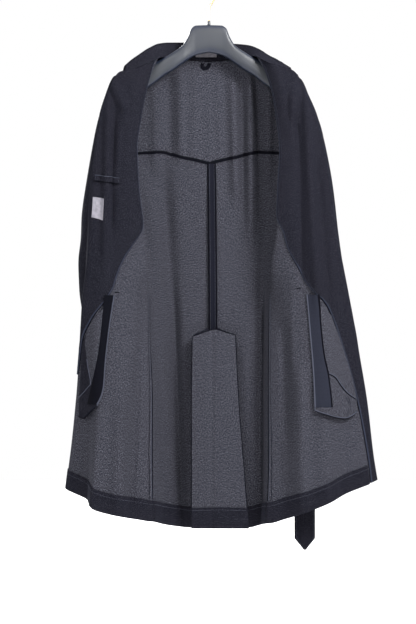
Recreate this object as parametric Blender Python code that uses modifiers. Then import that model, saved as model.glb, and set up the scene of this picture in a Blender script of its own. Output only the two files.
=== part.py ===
"""Trench coat hung open on a hanger, with both fronts swung out so that the inside faces the viewer.

Lengths are in millimetres and become metres at the last moment. The frame has +Z up, x across and y
away from the viewer, with the origin at the inside top of the hook. Cloth tables hold x, y and z as
they measure when seen square on from EYE_DISTANCE in front of the hanger, and placed() moves each
point along its line of sight to its own depth.
"""

import math

import bmesh
import bpy
import numpy as np
from mathutils import Vector

MM = 0.001
EYE_DISTANCE = 3200.0
EYE_HEIGHT = -734.0

WALL = 2.0
TRIM = 1.0
LAY_GAP = 0.7
HEM_GAP = 1.05
HEM_DEPTH = 44.0
SHOULDER_ROUND = 10.0

WEARER_RIGHT = -1
WEARER_LEFT = 1
SIDE_NAME = {WEARER_RIGHT: "right", WEARER_LEFT: "left"}

# Lines that run down each half of the coat, from the centre back round to the leading edge
CENTRE, QUARTER, NECK, BLADE, SEAM, FIRST, ROLL, MIDDLE, RIDGE, PAST, BEND, LEAD = range(12)

# Back lines. Columns: z, then y at the centre, then (out from the centre, y) of quarter, neck, blade and
# seam
BACK = {
    WEARER_RIGHT: [
        (-170, 36, (46, 32), (98, 16), (148, 14), (204, 8)),
        (-230, 40, (46, 42), (95, 38), (146, 32), (196, 22)),
        (-300, 46, (44, 48), (90, 47), (140, 42), (184, 32)),
        (-375, 52, (42, 54), (86, 54), (132, 51), (175, 36)),
        (-455, 56, (42, 58), (82, 60), (126, 58), (168, 22)),
        (-560, 60, (40, 62), (78, 64), (118, 60), (160, 24)),
        (-700, 60, (36, 64), (72, 66), (106, 54), (131, 18)),
        (-800, 60, (36, 62), (70, 64), (104, 46), (129, 8)),
        (-930, 60, (36, 60), (68, 64), (102, 42), (124, 2)),
        (-1060, 60, (36, 60), (68, 64), (102, 40), (124, -4)),
        (-1200, 60, (38, 60), (70, 64), (102, 36), (122, -10)),
    ],
    WEARER_LEFT: [
        (-170, 36, (46, 32), (98, 16), (146, 14), (200, 8)),
        (-230, 40, (46, 42), (95, 38), (144, 32), (192, 22)),
        (-300, 46, (46, 48), (90, 47), (138, 42), (182, 32)),
        (-375, 52, (46, 55), (86, 52), (130, 50), (174, 36)),
        (-455, 56, (46, 60), (84, 58), (126, 58), (168, 22)),
        (-560, 60, (46, 62), (84, 62), (118, 64), (160, 24)),
        (-700, 60, (46, 62), (82, 60), (112, 66), (134, 18)),
        (-800, 60, (48, 60), (84, 56), (110, 64), (132, 8)),
        (-930, 60, (50, 60), (86, 54), (108, 62), (131, 2)),
        (-1060, 60, (52, 60), (88, 54), (110, 58), (131, -4)),
        (-1200, 60, (54, 60), (92, 52), (112, 50), (127, -10)),
    ],
}

# Front lines. Columns: z, then (out, y) of seam, first, roll, middle, ridge, past, bend, lead
FRONT = {
    WEARER_RIGHT: [
        (-170, (204, -4), (148, -5), (110, -12), (152, -42), (192, -46), (204, -46), (212, -46), (215, -45)),
        (-230, (199, -10), (160, -26), (136, -34), (160, -50), (200, -48), (209, -48), (215, -48), (219, -47)),
        (-300, (184, -24), (168, -32), (150, -40), (176, -54), (214, -50), (226, -50), (234, -50), (239, -48)),
        (-375, (174, -24), (170, -33), (160, -43), (186, -54), (222, -51), (236, -51), (244, -51), (249, -49)),
        (-455, (168, -2), (168, -24), (156, -42), (188, -54), (226, -52), (242, -51), (253, -50), (259, -46)),
        (-560, (160, 24), (159, -2), (143, -32), (184, -51), (230, -54), (248, -52), (259, -49), (264, -42)),
        (-640, (146, 24), (149, 4), (134, -14), (182, -46), (232, -56), (252, -52), (266, -46), (268, -32)),
        (-700, (131, 18), (134, 10), (139, 1), (182, -42), (234, -58), (256, -52), (274, -42), (272, -24)),
        (-800, (129, 8), (135, 1), (146, -7), (186, -42), (238, -60), (260, -46), (281, -26), (276, 6)),
        (-930, (124, 2), (132, -5), (148, -13), (192, -44), (239, -62), (262, -36), (292, -2), (280, 56)),
        (-1060, (124, -4), (134, -11), (154, -19), (195, -48), (248, -64), (263, -28), (306, 14), (294, 84)),
        (-1200, (122, -10), (134, -16), (158, -22), (196, -52), (261, -66), (266, -20), (325, 34), (310, 106)),
    ],
    WEARER_LEFT: [
        (-170, (200, -4), (146, -5), (106, -12), (142, -42), (178, -46), (192, -46), (200, -46), (203, -45)),
        (-230, (194, -10), (156, -26), (135, -34), (160, -50), (192, -48), (200, -48), (205, -48), (208, -47)),
        (-300, (182, -24), (167, -32), (149, -40), (174, -54), (208, -50), (222, -50), (231, -50), (236, -48)),
        (-375, (174, -24), (170, -33), (157, -43), (188, -54), (224, -51), (241, -51), (251, -51), (256, -49)),
        (-455, (168, -2), (168, -24), (153, -42), (190, -54), (232, -53), (252, -52), (265, -51), (270, -47)),
        (-560, (160, 24), (160, -2), (149, -32), (190, -51), (238, -56), (262, -54), (279, -50), (282, -40)),
        (-640, (147, 24), (151, 6), (138, -12), (188, -46), (242, -58), (272, -54), (294, -46), (293, -26)),
        (-700, (134, 18), (137, 10), (142, 1), (188, -42), (246, -58), (278, -50), (305, -38), (300, -8)),
        (-800, (132, 8), (138, 1), (148, -7), (190, -42), (248, -60), (286, -46), (324, -26), (316, 30)),
        (-930, (131, 2), (139, -5), (152, -12), (196, -44), (250, -62), (292, -40), (345, -14), (334, 58)),
        (-1060, (131, -4), (141, -11), (158, -18), (200, -46), (254, -64), (296, -34), (361, -4), (350, 72)),
        (-1200, (127, -10), (139, -16), (162, -22), (202, -48), (259, -66), (304, -28), (386, 4), (374, 84)),
    ],
}

# Height of the top edge and of the hem along each of the twelve lines
TOP = {
    WEARER_RIGHT: (-184, -180, -168, -191, -211, -191, -174, -197, -206, -219, -238, -250),
    WEARER_LEFT: (-184, -180, -168, -190, -212, -190, -174, -190, -203, -217, -232, -242),
}
HEM = {
    WEARER_RIGHT: (-1207, -1206, -1203, -1198, -1193, -1192, -1188, -1182, -1164, -1146, -1120, -1110),
    WEARER_LEFT: (-1208, -1207, -1205, -1200, -1197, -1196, -1189, -1177, -1156, -1132, -1103, -1096),
}

# Soft folds. Columns: side, first and last line it may touch, x at the top, z at the top, x at the
# bottom, z at the bottom, half width, depth towards the viewer
FOLDS = [
    (WEARER_RIGHT, CENTRE, SEAM, -141, -430, -107, -660, 15, 12),
    (WEARER_RIGHT, CENTRE, SEAM, -97, -430, -60, -1180, 16, -13),
    (WEARER_RIGHT, CENTRE, SEAM, -90, -210, -84, -390, 13, -8),
    (WEARER_LEFT, CENTRE, SEAM, 53, -220, 60, -480, 12, 7),
    (WEARER_LEFT, CENTRE, SEAM, 73, -220, 78, -520, 11, -8),
    (WEARER_LEFT, CENTRE, SEAM, 90, -220, 92, -560, 11, 8),
    (WEARER_LEFT, CENTRE, SEAM, 112, -240, 112, -500, 11, -8),
    (WEARER_RIGHT, ROLL, BEND, -147, -830, -172, -1180, 15, -10),
    (WEARER_RIGHT, ROLL, BEND, -192, -900, -200, -1180, 17, 8),
    (WEARER_RIGHT, MIDDLE, LEAD, -176, -300, -214, -230, 9, 6),
    (WEARER_LEFT, ROLL, BEND, 165, -770, 168, -1000, 15, -10),
    (WEARER_LEFT, ROLL, BEND, 200, -860, 206, -1180, 17, 9),
    (WEARER_LEFT, MIDDLE, LEAD, 190, -240, 166, -400, 9, 6),
]

# Centre back seam and yoke seam. Columns: z, x of the centre back line
CENTRE_BACK = [(-170, -2), (-400, 6), (-770, 9), (-1210, 9)]
# Columns: out from the centre, z of the yoke seam
YOKE_SEAM = [(0, -410), (30, -402), (60, -396), (88, -390), (115, -386), (190, -385)]
SEAM_STEP = 0.018
YOKE_SEAM_GAP = 0.0025
# Share of the way from the top edge to its seam of each row of the yoke
YOKE_ROWS = (0.001, 0.03, 0.09, 0.25, 0.5, 0.75, 1.0 - YOKE_SEAM_GAP)
# Share of the way from the yoke seam to the hem of each row of a back
BACK_ROWS = (0.0006, 0.07, 0.16, 0.25, 0.34, 0.442, 0.476, 0.57, 0.68, 0.79, 0.9, 1.0)

# Inverted pleat. Columns: z, x of the underlay's wearer-right edge, x of its wearer-left edge, y
PLEAT = [
    (-771, -36, 58, 34),
    (-930, -38, 66, 28),
    (-1060, -38, 76, 24),
    (-1210, -38, 88, 22),
]
PLEAT_OPENS = (-766, -788)
PLEAT_CORNERS = (-788, -784)
PLEAT_APEX = (13, -771)
PLEAT_FOLD_Y = 54.0
PLEAT_SHARES = (0.98, 0.5, 0.04)
PLEAT_BEHIND = 2.3
PLEAT_BOW = 3.0
# Crease down the underlay: x from the apex, depth, half width
PLEAT_CREASE = (-6.0, 2.5, 5.0)
PLEAT_LENGTH = 430.0
SEAM_ALLOWANCE = 10.0
BACK_LENGTH = 810.0
# Line position where each back's hem starts, beside the pleat
HEM_BACK_START = {WEARER_RIGHT: 1.35, WEARER_LEFT: 2.05}
# A turned-up hem starts this share of the way down, just above the fold
HEM_END = 0.9985
BINDING = 5.0
# Centre back seam tape. z of its two ends, half width, rows
CENTRE_TAPE = (-414.0, -762.0, 9.0, 9)
SIDE_TAPE_TOP = -705.0

# Line positions of a front's columns of points, closer together at its folds
FRONT_COLUMNS = (
    SEAM + SEAM_STEP, 4.5, 5.0, 5.5, 5.8, 6.0, 6.2, 6.5, 7.0, 7.4, 7.8, 8.2, 8.6, 9.0, 9.5, 10.0, 10.5, 11.0
)
FACING_STEP = 0.012
# The facing stands off a little further where its inner edge slants across the front. Heights where that
# starts, is full, starts to end and has ended, read on the line FACING_SLANT_LINE
FACING_SLACK = 3.3
FACING_SLANT = (-480.0, -535.0, -800.0, -860.0)
FACING_SLANT_LINE = 8.0
FACING_ROLL_START = ROLL + 0.12
FACING_END_GAP = 0.02
# Line position where a front turns away from the viewer
LAST_SEEN = BEND + 0.42

# Facing inner edge as seen. Columns: z, out from the centre
FACING_EDGE = {
    WEARER_RIGHT: [(-556, 152), (-584, 168), (-613, 186), (-648, 202), (-681, 213), (-710, 231), (-751, 259),
                   (-790, 276)],
    WEARER_LEFT: [(-531, 155), (-556, 165), (-593, 176), (-617, 188), (-666, 215), (-727, 264), (-795, 289),
                  (-868, 311), (-960, 333), (-1077, 353), (-1120, 358)],
}

# Pocket on the inside of each front. Columns of strip: z, out of its two edges. Columns of the bag
# edges: out, z
POCKET = {
    WEARER_RIGHT: {
        "strip": [(-692, 209, 229), (-771, 221, 236), (-844, 229, 243), (-900, 233, 250), (-943, 243, 256)],
        "upper": [(236, -876), (250, -884), (263, -900), (278, -912)],
        "lower": [(234, -940), (248, -956), (262, -966), (278, -964)],
        "reach": 268,
    },
    WEARER_LEFT: {
        "strip": [(-690, 217, 241), (-767, 223, 247), (-828, 228, 253), (-875, 231, 261), (-949, 235, 266)],
        "upper": [(247, -868), (261, -875), (274, -892), (295, -910), (325, -928)],
        "lower": [(235, -949), (253, -957), (274, -964), (295, -966), (315, -959), (328, -948)],
        "reach": 322,
    },
}
POCKET_TOP = 16.0
POCKET_MOUTH = -720.0
POCKET_GAP = 0.9
POCKET_BULGE = 4.5
POCKET_LAYER_GAP = 2.0
POCKET_STRIP = 12.0
NECK_LABEL_GAP = 2.4

# Pieces on the wearer's right facing. Corners as (out, z), upper then lower edge
BREAST_WELT = ((196, -440), (250, -433), (196, -452), (252, -445))
CARE_LABEL = ((229, -485), (254, -481), (231, -533), (256, -526))
NECK_LABEL = (-29.0, 17.0, -152.0, -173.4)

# Hanging loop at the neck, a tape that lies flat. Columns: x, z
NECK_LOOP = [(-13.5, -187), (-14.5, -193), (-11.5, -198), (-5, -197), (0, -192.5), (1, -187)]
NECK_LOOP_WIDTH = 5.0
NECK_LOOP_Y = 34.2

# Belt round the outside of the back, then down behind each side. Columns: x, y
BELT_ROUND = [(-188, 62), (-150, 46), (-122, 66), (-92, 82), (-50, 80), (0, 76), (50, 76), (100, 80), (122, 70),
              (150, 48), (188, 64)]
BELT_WIDTH = 46.0
BELT_HEIGHT = -640.0
BELT_FOLD_GAP = 4.0
# Columns: z, y of the hanging stretch
BELT_TAIL = [(-620, 70), (-760, 68), (-860, 62), (-960, 44), (-1100, 30), (-1262, 24)]
BELT_TAIL_X = 213.0
BELT_TIP = (-1236.0, -1262.0)
BELT_BUCKLE_END = -1000.0
BELT_HANG_START = -700.0
BELT_SECTIONS = 21
# Width, height, wire radius, corner radius
BUCKLE = (62.0, 54.0, 3.2, 7.0)
PRONG_RADIUS = 1.6
# Out from the centre, width, half length
BELT_LOOP = (146.0, 10.0, 34.0)
BELT_LOOP_SLACK = 3.2

# Buttons on the outside of the wearer's left front. Columns: line, z
BUTTONS = [(7.6, -470), (8.9, -470), (7.4, -560), (9.2, -560), (7.3, -655), (9.1, -655)]
BUTTON_RADIUS = 12.0
BUTTON_THICKNESS = 3.5
BUTTON_SHANK = 0.9

# Collar from the wearer's right end to the left end. Columns: neck seam, fold line and leaf edge, each as
# (x, y, z)
COLLAR = [
    ((-184, -47, -206), (-182, -36, -193), (-199, -35, -262)),
    ((-165, -46, -197), (-167, -32, -180), (-192, -31, -238)),
    ((-140, -41, -186), (-150, -28, -168), (-180, -17, -204)),
    ((-122, -31, -175), (-129, -16, -154), (-160, 12, -182)),
    ((-104, -10, -166), (-108, 0, -145), (-136, 44, -190)),
    ((-88, 12, -164), (-88, 22, -143), (-102, 60, -206)),
    ((-60, 28, -176), (-63, 38, -143), (-66, 66, -220)),
    ((0, 33, -184), (0, 42, -144), (0, 68, -226)),
    ((58, 28, -176), (60, 38, -146), (64, 66, -220)),
    ((86, 12, -164), (88, 22, -149), (102, 60, -206)),
    ((102, -10, -167), (107, 0, -156), (136, 44, -192)),
    ((118, -30, -176), (131, -16, -171), (158, 12, -184)),
    ((136, -41, -186), (148, -28, -181), (176, -17, -206)),
    ((154, -46, -193), (163, -32, -189), (186, -31, -240)),
    ((172, -47, -199), (176, -36, -197), (194, -35, -264)),
]
COLLAR_TURN = 5.0
STAND_START = 0.22
LEAF_BULGE = 2.25
COLLAR_SECTIONS = 25

# Sleeve rings. Columns: z, x of the ring's middle out from the centre, y, half width, half depth, tilt of
# the ring's outer end down
SLEEVE = [
    (-395, 216, 14, 44, 34, 22),
    (-470, 224, 18, 49, 38, 10),
    (-560, 229, 20, 52, 37, 4),
    (-650, 231, 20, 55, 36, 0),
    (-720, 225, 22, 54, 34, 0),
    (-780, 210, 26, 51, 32, 0),
    (-835, 198, 28, 49, 30, 0),
]
ARMHOLE = [(204, 0, -208), (190, 24, -262), (179, 37, -335), (172, 34, -410), (168, 12, -462),
           (170, -20, -415), (176, -26, -345), (190, -17, -265)]
SLEEVE_SIDES = 12
SLEEVE_RINGS = 9
SLEEVE_HEAD = 0.24
SLEEVE_SEAM_STEP = 2.5

# Hanger. Columns: out from the centre, top, bottom, half thickness
HANGER_ARM = [
    (0, -103, -163, 9), (28, -104, -169, 9), (38, -110, -174, 9.5), (46, -129, -179, 10),
    (57, -147, -187, 11), (80, -163.5, -203, 12), (98, -174.5, -214, 12), (112, -182, -225, 12),
    (130, -187.5, -238, 12), (148, -193.6, -249, 11.5), (175, -204.6, -256, 9.0), (190, -212.0, -252, 6.5),
    (197, -217, -243, 4),
]
HANGER_SIDES = 12
HOOK_WIRE = 4.0
HOOK_RADIUS = 24.0
SHANK_BOTTOM = -93.0
# Columns: x, z of the wire's way up to where its round bend begins
HOOK_SHANK = [(0.0, SHANK_BOTTOM), (0.0, -76.0), (1.4, -64.0), (7.0, -54.5)]
# First and last angle of the round bend, and its points
HOOK_SWEEP = (-52.0, 200.0, 19)
# Radius, length
FERRULE = (3.6, 9.6)

PALETTE = {
    "cloth_navy": ((0.024, 0.025, 0.040, 1.0), 0.85, 0.0),
    "cloth_grey": ((0.075, 0.080, 0.105, 1.0), 0.9, 0.0),
    "binding": ((0.020, 0.022, 0.036, 1.0), 0.6, 0.0),
    "label_white": ((0.72, 0.66, 0.68, 1.0), 0.7, 0.0),
    "hanger_plastic": ((0.022, 0.032, 0.060, 1.0), 0.45, 0.0),
    "brass": ((0.70, 0.50, 0.25, 1.0), 0.3, 1.0),
    "horn": ((0.030, 0.022, 0.018, 1.0), 0.35, 0.0),
}


def clear_scene():
    for item in list(bpy.data.objects):
        bpy.data.objects.remove(item, do_unlink=True)


def collection_named(name):
    found = bpy.data.collections.new(name)
    bpy.context.scene.collection.children.link(found)
    return found


def make_materials():
    made = {}
    for name, (colour, roughness, metallic) in PALETTE.items():
        material = bpy.data.materials.new(name)
        material.use_nodes = True
        shader = material.node_tree.nodes["Principled BSDF"]
        shader.inputs["Base Color"].default_value = colour
        shader.inputs["Roughness"].default_value = roughness
        shader.inputs["Metallic"].default_value = metallic
        material.diffuse_color = colour
        made[name] = material
    return made


def add_object(name, mesh, material, smooth=True):
    item = bpy.data.objects.new(name, mesh)
    COAT.objects.link(item)
    mesh.materials.append(MATERIALS[material])
    if smooth:
        mesh.shade_smooth()
    return item


def tangents(knots, values):
    """Slopes of a curve through the values that never overshoots them, along the first axis."""
    steps = np.diff(knots).reshape((-1,) + (1,) * (values.ndim - 1))
    slopes = np.diff(values, axis=0) / steps
    before = slopes[:-1]
    after = slopes[1:]
    same = before * after > 0
    total = np.where(same, before + after, 1.0)
    inner = np.where(same, 2.0 * before * after / total, 0.0)
    return np.concatenate([slopes[:1], inner, slopes[-1:]])


def hermite(start, end, start_slope, end_slope, step, s):
    s2 = s * s
    s3 = s2 * s
    return (
        (2 * s3 - 3 * s2 + 1) * start
        + (s3 - 2 * s2 + s) * step * start_slope
        + (3 * s2 - 2 * s3) * end
        + (s3 - s2) * step * end_slope
    )


def flat_row(row):
    """A table row's numbers, with its (out, y) pairs opened up."""
    return [float(number) for item in row for number in (item if isinstance(item, tuple) else (item,))]


def read_table(rows, at):
    """Values of a table's later columns where its first column is at."""
    flat = np.array([flat_row(row) for row in rows])
    if flat[0, 0] > flat[-1, 0]:
        flat = flat[::-1]
    knots = flat[:, 0]
    values = flat[:, 1:]
    slopes = tangents(knots, values)
    at = np.clip(np.asarray(at, float), knots[0], knots[-1])
    i = np.clip(np.searchsorted(knots, at, side="right") - 1, 0, len(knots) - 2)
    step = (knots[i + 1] - knots[i])[..., None]
    s = (at - knots[i])[..., None] / step
    return hermite(values[i], values[i + 1], slopes[i], slopes[i + 1], step, s)


def across(lines, u):
    """Points at u along a curve through the lines, whose first axis counts them from 0."""
    slopes = tangents(np.arange(len(lines), dtype=float), lines)
    i = np.clip(np.floor(u).astype(int), 0, len(lines) - 2)
    s = (u - i)[..., None]
    rows, columns = np.indices(u.shape)
    return hermite(
        lines[i, rows, columns],
        lines[i + 1, rows, columns],
        slopes[i, rows, columns],
        slopes[i + 1, rows, columns],
        1.0,
        s,
    )


def placed(points):
    """Points as seen from the front, moved along the line of sight to their own depth."""
    k = 1.0 + points[..., 1:2] / EYE_DISTANCE
    x = points[..., 0:1] * k
    z = EYE_HEIGHT + (points[..., 2:3] - EYE_HEIGHT) * k
    return np.concatenate([x, points[..., 1:2], z], axis=-1)


def smoothstep(value, low, high):
    t = np.clip((value - low) / (high - low), 0.0, 1.0)
    return t * t * (3.0 - 2.0 * t)


def folded(points, u, side):
    depth = np.zeros(points.shape[:-1])
    for fold_side, first, last, x_top, z_top, x_bottom, z_bottom, width, height in FOLDS:
        if fold_side != side:
            continue
        x = points[..., 0]
        z = points[..., 2]
        t = (z - z_top) / (z_bottom - z_top)
        line = x_top + (x_bottom - x_top) * np.clip(t, 0.0, 1.0)
        ends = smoothstep(t, -0.15, 0.15) * (1.0 - smoothstep(t, 0.85, 1.15))
        lines = smoothstep(u, first, first + 0.5) * (1.0 - smoothstep(u, last - 0.5, last))
        depth += height * np.exp(-(((x - line) / width) ** 2)) * ends * lines
    moved = points.copy()
    moved[..., 1] -= depth
    return moved


def half_coat(side, u, v, back):
    """Points of one half of the shell. u runs along the twelve lines and v from top edge to hem."""
    u, v = np.broadcast_arrays(np.asarray(u, float), np.asarray(v, float))
    lines = np.zeros((12,) + v.shape + (3,))
    for line in range(12):
        top = TOP[side][line]
        z = top + (HEM[side][line] - top) * v
        if line < SEAM or (line == SEAM and back):
            row = read_table(BACK[side], z)
        else:
            row = read_table(FRONT[side], z)
        if line == CENTRE:
            x = read_table(CENTRE_BACK, z)[..., 0]
            y = row[..., 0]
        elif line < SEAM or (line == SEAM and back):
            x = side * row[..., 2 * line - 1]
            y = row[..., 2 * line]
        else:
            x = side * row[..., 2 * (line - SEAM)]
            y = row[..., 2 * (line - SEAM) + 1]
        if NECK <= line <= FIRST:
            y = y * np.sqrt(np.clip((top - z) / SHOULDER_ROUND, 0.0, 1.0))
        lines[line] = np.stack([x, y, z], axis=-1)
    return placed(folded(across(lines, u), u, side))


class Panel:
    """A sheet of cloth with its grid of points, so that other pieces can be laid on it.

    u rises from the centre back towards the leading edge and v falls from the top to the hem.
    """

    def __init__(self, name, us, vs, grid, side, material, wall=WALL):
        self.us = np.asarray(us, float)
        self.vs = np.asarray(vs, float)
        self.grid = grid
        self.side = side
        self.wall = wall
        mesh = add_sheet(name, grid, material, wall).data
        normals = np.empty(len(mesh.vertices) * 3)
        mesh.vertex_normals.foreach_get("vector", normals)
        self.inwards = -side * normals.reshape(grid.shape)

    def at(self, u, v, lift=0.0):
        """Points at u and v, lifted off the cloth towards the inside of the coat."""
        u, v = np.broadcast_arrays(np.asarray(u, float), np.asarray(v, float))
        a = np.clip(np.interp(u, self.us, np.arange(len(self.us))), 0, len(self.us) - 1.0001)
        b = np.clip(np.interp(v, self.vs, np.arange(len(self.vs))), 0, len(self.vs) - 1.0001)
        i = a.astype(int)
        j = b.astype(int)
        s = (a - i)[..., None]
        t = (b - j)[..., None]
        found = [
            (1 - s) * (1 - t) * field[i, j]
            + s * (1 - t) * field[i + 1, j]
            + s * t * field[i + 1, j + 1]
            + (1 - s) * t * field[i, j + 1]
            for field in (self.grid, self.inwards)
        ]
        return found[0] + found[1] * np.broadcast_to(lift, u.shape)[..., None]

    def lay(self, name, us, vs, material, wall=WALL, gap=LAY_GAP, layer=0.0):
        """A piece that lies on this one. us and vs are single rows, or grids of the same shape."""
        vs = np.asarray(vs, float)
        us = np.asarray(us, float)
        if us.ndim == 1:
            us = us[:, None]
        if vs.ndim == 1:
            vs = vs[None, :]
        us, vs = np.broadcast_arrays(us, vs)
        lift = 0.5 * self.wall + gap + 0.5 * wall + layer
        grid = self.at(us, vs, lift)
        return Panel(name, np.arange(len(us)), vs[0], grid, self.side, material, wall)


def grid_mesh(name, grid):
    columns, rows = grid.shape[:2]
    vertices = (grid.reshape(-1, 3) * MM).tolist()
    faces = [
        (i * rows + j, (i + 1) * rows + j, (i + 1) * rows + j + 1, i * rows + j + 1)
        for i in range(columns - 1)
        for j in range(rows - 1)
    ]
    mesh = bpy.data.meshes.new(name)
    mesh.from_pydata(vertices, [], faces)
    return mesh


def add_sheet(name, grid, material, wall=WALL):
    item = add_object(name, grid_mesh(name, grid), material)
    solidify = item.modifiers.new("wall", "SOLIDIFY")
    solidify.thickness = wall * MM
    solidify.offset = 0.0
    return item


def line_z(side, u, v):
    """Height, as seen, at v on the line u."""
    top = np.interp(u, range(12), TOP[side])
    hem = np.interp(u, range(12), HEM[side])
    return top + (hem - top) * v


def line_v(side, u, z):
    top = np.interp(u, range(12), TOP[side])
    hem = np.interp(u, range(12), HEM[side])
    return (z - top) / (hem - top)


def seen_out(side, u, z, back):
    """Distance from the centre, as seen, of the point at height z on the line u."""
    point = half_coat(side, [[u]], [[line_v(side, u, z)]], back)[0, 0]
    return side * point[0] / (1.0 + point[1] / EYE_DISTANCE)


def yoke_v(side, u):
    out = seen_out(side, u, -390.0, back=True)
    return line_v(side, u, read_table(YOKE_SEAM, out)[0])


def add_yoke():
    """One piece across both halves, from the neck and shoulder seams down to its pointed seam."""
    rows = np.array(YOKE_ROWS)
    us = np.concatenate([np.linspace(0.0, BLADE, 9), [3.4, 3.7, SEAM - 0.02]])
    halves = []
    for side in (WEARER_RIGHT, WEARER_LEFT):
        v = np.stack([yoke_v(side, u) * rows for u in us])
        halves.append(half_coat(side, us[:, None], v, back=True))
    grid = np.concatenate([halves[0][:0:-1], halves[1]])
    signed = np.concatenate([-us[:0:-1], us])
    return Panel("back_yoke", signed, rows, grid, WEARER_LEFT, "cloth_grey")


def pleat_return(side, z, share):
    """A point between the centre back fold and the underlay's edge, which is share 1."""
    centre = read_table(CENTRE_BACK, z)[..., 0]
    row = read_table(PLEAT, z)
    deep = smoothstep(-z, -PLEAT_OPENS[0], -PLEAT_OPENS[1])
    edge = row[..., 0] if side == WEARER_RIGHT else row[..., 1]
    reach = deep * (edge - centre) + (1.0 - deep) * side * SEAM_ALLOWANCE
    x = centre + side + (reach - side) * share
    y = PLEAT_FOLD_Y + deep * (row[..., 2] + PLEAT_BEHIND - PLEAT_FOLD_Y) * share
    return placed(np.stack([x, y, z], axis=-1))


def add_back(side):
    """From its centre seam allowance and pleat return, round the fold, to the side seam."""
    rows = np.array(BACK_ROWS)
    us = np.concatenate([[0.08, 0.3], np.linspace(0.65, BLADE, 6), [3.25, 3.5, 3.75, SEAM - SEAM_STEP]])
    v = np.stack([yoke_v(side, u) + (1.0 - yoke_v(side, u)) * rows for u in us])
    body = half_coat(side, us[:, None], v, back=True)
    z = line_z(side, 0.0, v[0])
    folds = [pleat_return(side, z, share) for share in PLEAT_SHARES]
    grid = np.concatenate([np.stack(folds), body])
    return Panel(
        f"back_{SIDE_NAME[side]}",
        np.concatenate([np.linspace(-1.0, -0.1, len(folds)), us]),
        rows,
        grid,
        side,
        "cloth_grey",
    )


def add_pleat():
    rows = np.linspace(0.0, 1.0, 9)
    shares = np.linspace(0.0, 1.0, 9)
    columns = []
    for share in shares:
        corner = PLEAT_CORNERS[0] + (PLEAT_CORNERS[1] - PLEAT_CORNERS[0]) * share
        left, right, _ = read_table(PLEAT, corner)
        x_top = left + (right - left) * share
        apex, apex_z = PLEAT_APEX
        span = apex - left if x_top < apex else right - apex
        z_top = apex_z + (corner - apex_z) * abs(x_top - apex) / span
        z = z_top + (HEM[WEARER_LEFT][0] - z_top) * rows
        row = read_table(PLEAT, z)
        x = row[:, 0] + (row[:, 1] - row[:, 0]) * share
        crease = PLEAT_CREASE[1] * np.exp(-(((x - apex - PLEAT_CREASE[0]) / PLEAT_CREASE[2]) ** 2))
        bow = PLEAT_BOW * math.sin(math.pi * share)
        columns.append(np.stack([x, row[:, 2] - bow + crease, z], axis=-1))
    return Panel("back_pleat", shares, rows, placed(np.stack(columns)), WEARER_LEFT, "cloth_grey")


def add_front(side):
    seam_top = yoke_v(side, SEAM - SEAM_STEP)
    seam_rows = seam_top + (1.0 - seam_top) * np.array(BACK_ROWS[1:])
    rows = np.concatenate([[0.0003, 0.008, 0.03, 0.08, 0.13, seam_top], seam_rows])
    us = np.array(FRONT_COLUMNS)
    grid = half_coat(side, us[:, None], rows[None, :], back=False)
    return Panel(f"front_{SIDE_NAME[side]}", us, rows, grid, side, "cloth_grey")


def facing_u(side, v):
    """Line position of the facing's inner edge at height v."""
    edge = FACING_EDGE[side]
    low = FACING_ROLL_START
    if line_z(side, ROLL + 0.5, v) > edge[0][0]:
        return low
    high = LAST_SEEN
    for _ in range(16):
        middle = 0.5 * (low + high)
        z = line_z(side, middle, v)
        if seen_out(side, middle, z, back=False) < read_table(edge, z)[0]:
            low = middle
        else:
            high = middle
    return middle


def facing_slack(front, v):
    """How much further the facing stands off the front where its inner edge slants across."""
    z = line_z(front.side, FACING_SLANT_LINE, front.vs)
    starts, full, ends, ended = FACING_SLANT
    slack = smoothstep(-z, -starts, -full) * (1.0 - smoothstep(-z, -ends, -ended))
    return np.interp(v, front.vs, FACING_SLACK * slack)


def add_facing(front):
    """Lies on the front from its inner edge to the leading edge, on the front's own columns."""
    side = front.side
    columns = front.us[front.us > ROLL + 0.1]
    starts = np.array([facing_u(side, v) for v in front.vs])
    us = [starts]
    for column in columns[:-1]:
        us.append(np.maximum(us[-1] + FACING_STEP, column))
    us.append(np.full(len(front.vs), columns[-1] - FACING_END_GAP))
    left_over = FACING_STEP * np.arange(len(us))[::-1, None]
    us = np.minimum(np.stack(us), columns[-1] - left_over - FACING_END_GAP)
    slack = facing_slack(front, front.vs)
    facing = front.lay(f"facing_{SIDE_NAME[side]}", us, front.vs, "cloth_navy", layer=slack[None, :])
    lift = 0.5 * (WALL + TRIM) + LAY_GAP + 0.5 * slack[None, :]
    grid = facing.at(np.arange(len(us))[:, None], facing.vs[None, :], lift)
    lengths = np.cumsum(np.linalg.norm(np.diff(grid, axis=0), axis=-1), axis=0)
    lengths = np.concatenate([np.zeros((1, len(facing.vs))), lengths])
    strip = []
    for reach in (0.0, 0.5 * BINDING, BINDING):
        strip.append([
            [np.interp(reach, lengths[:, j], grid[:, j, k]) for k in range(3)]
            for j in range(len(facing.vs))
        ])
    Panel(f"facing_binding_{SIDE_NAME[side]}", [0, 1, 2], facing.vs, np.array(strip), side, "binding", TRIM)
    return facing, starts


def hem_v(side, u):
    """Where the turned-up hem's upper edge lies on the line u."""
    length = np.interp(u, range(12), TOP[side]) - np.interp(u, range(12), HEM[side])
    return 1.0 - HEM_DEPTH / length


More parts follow.
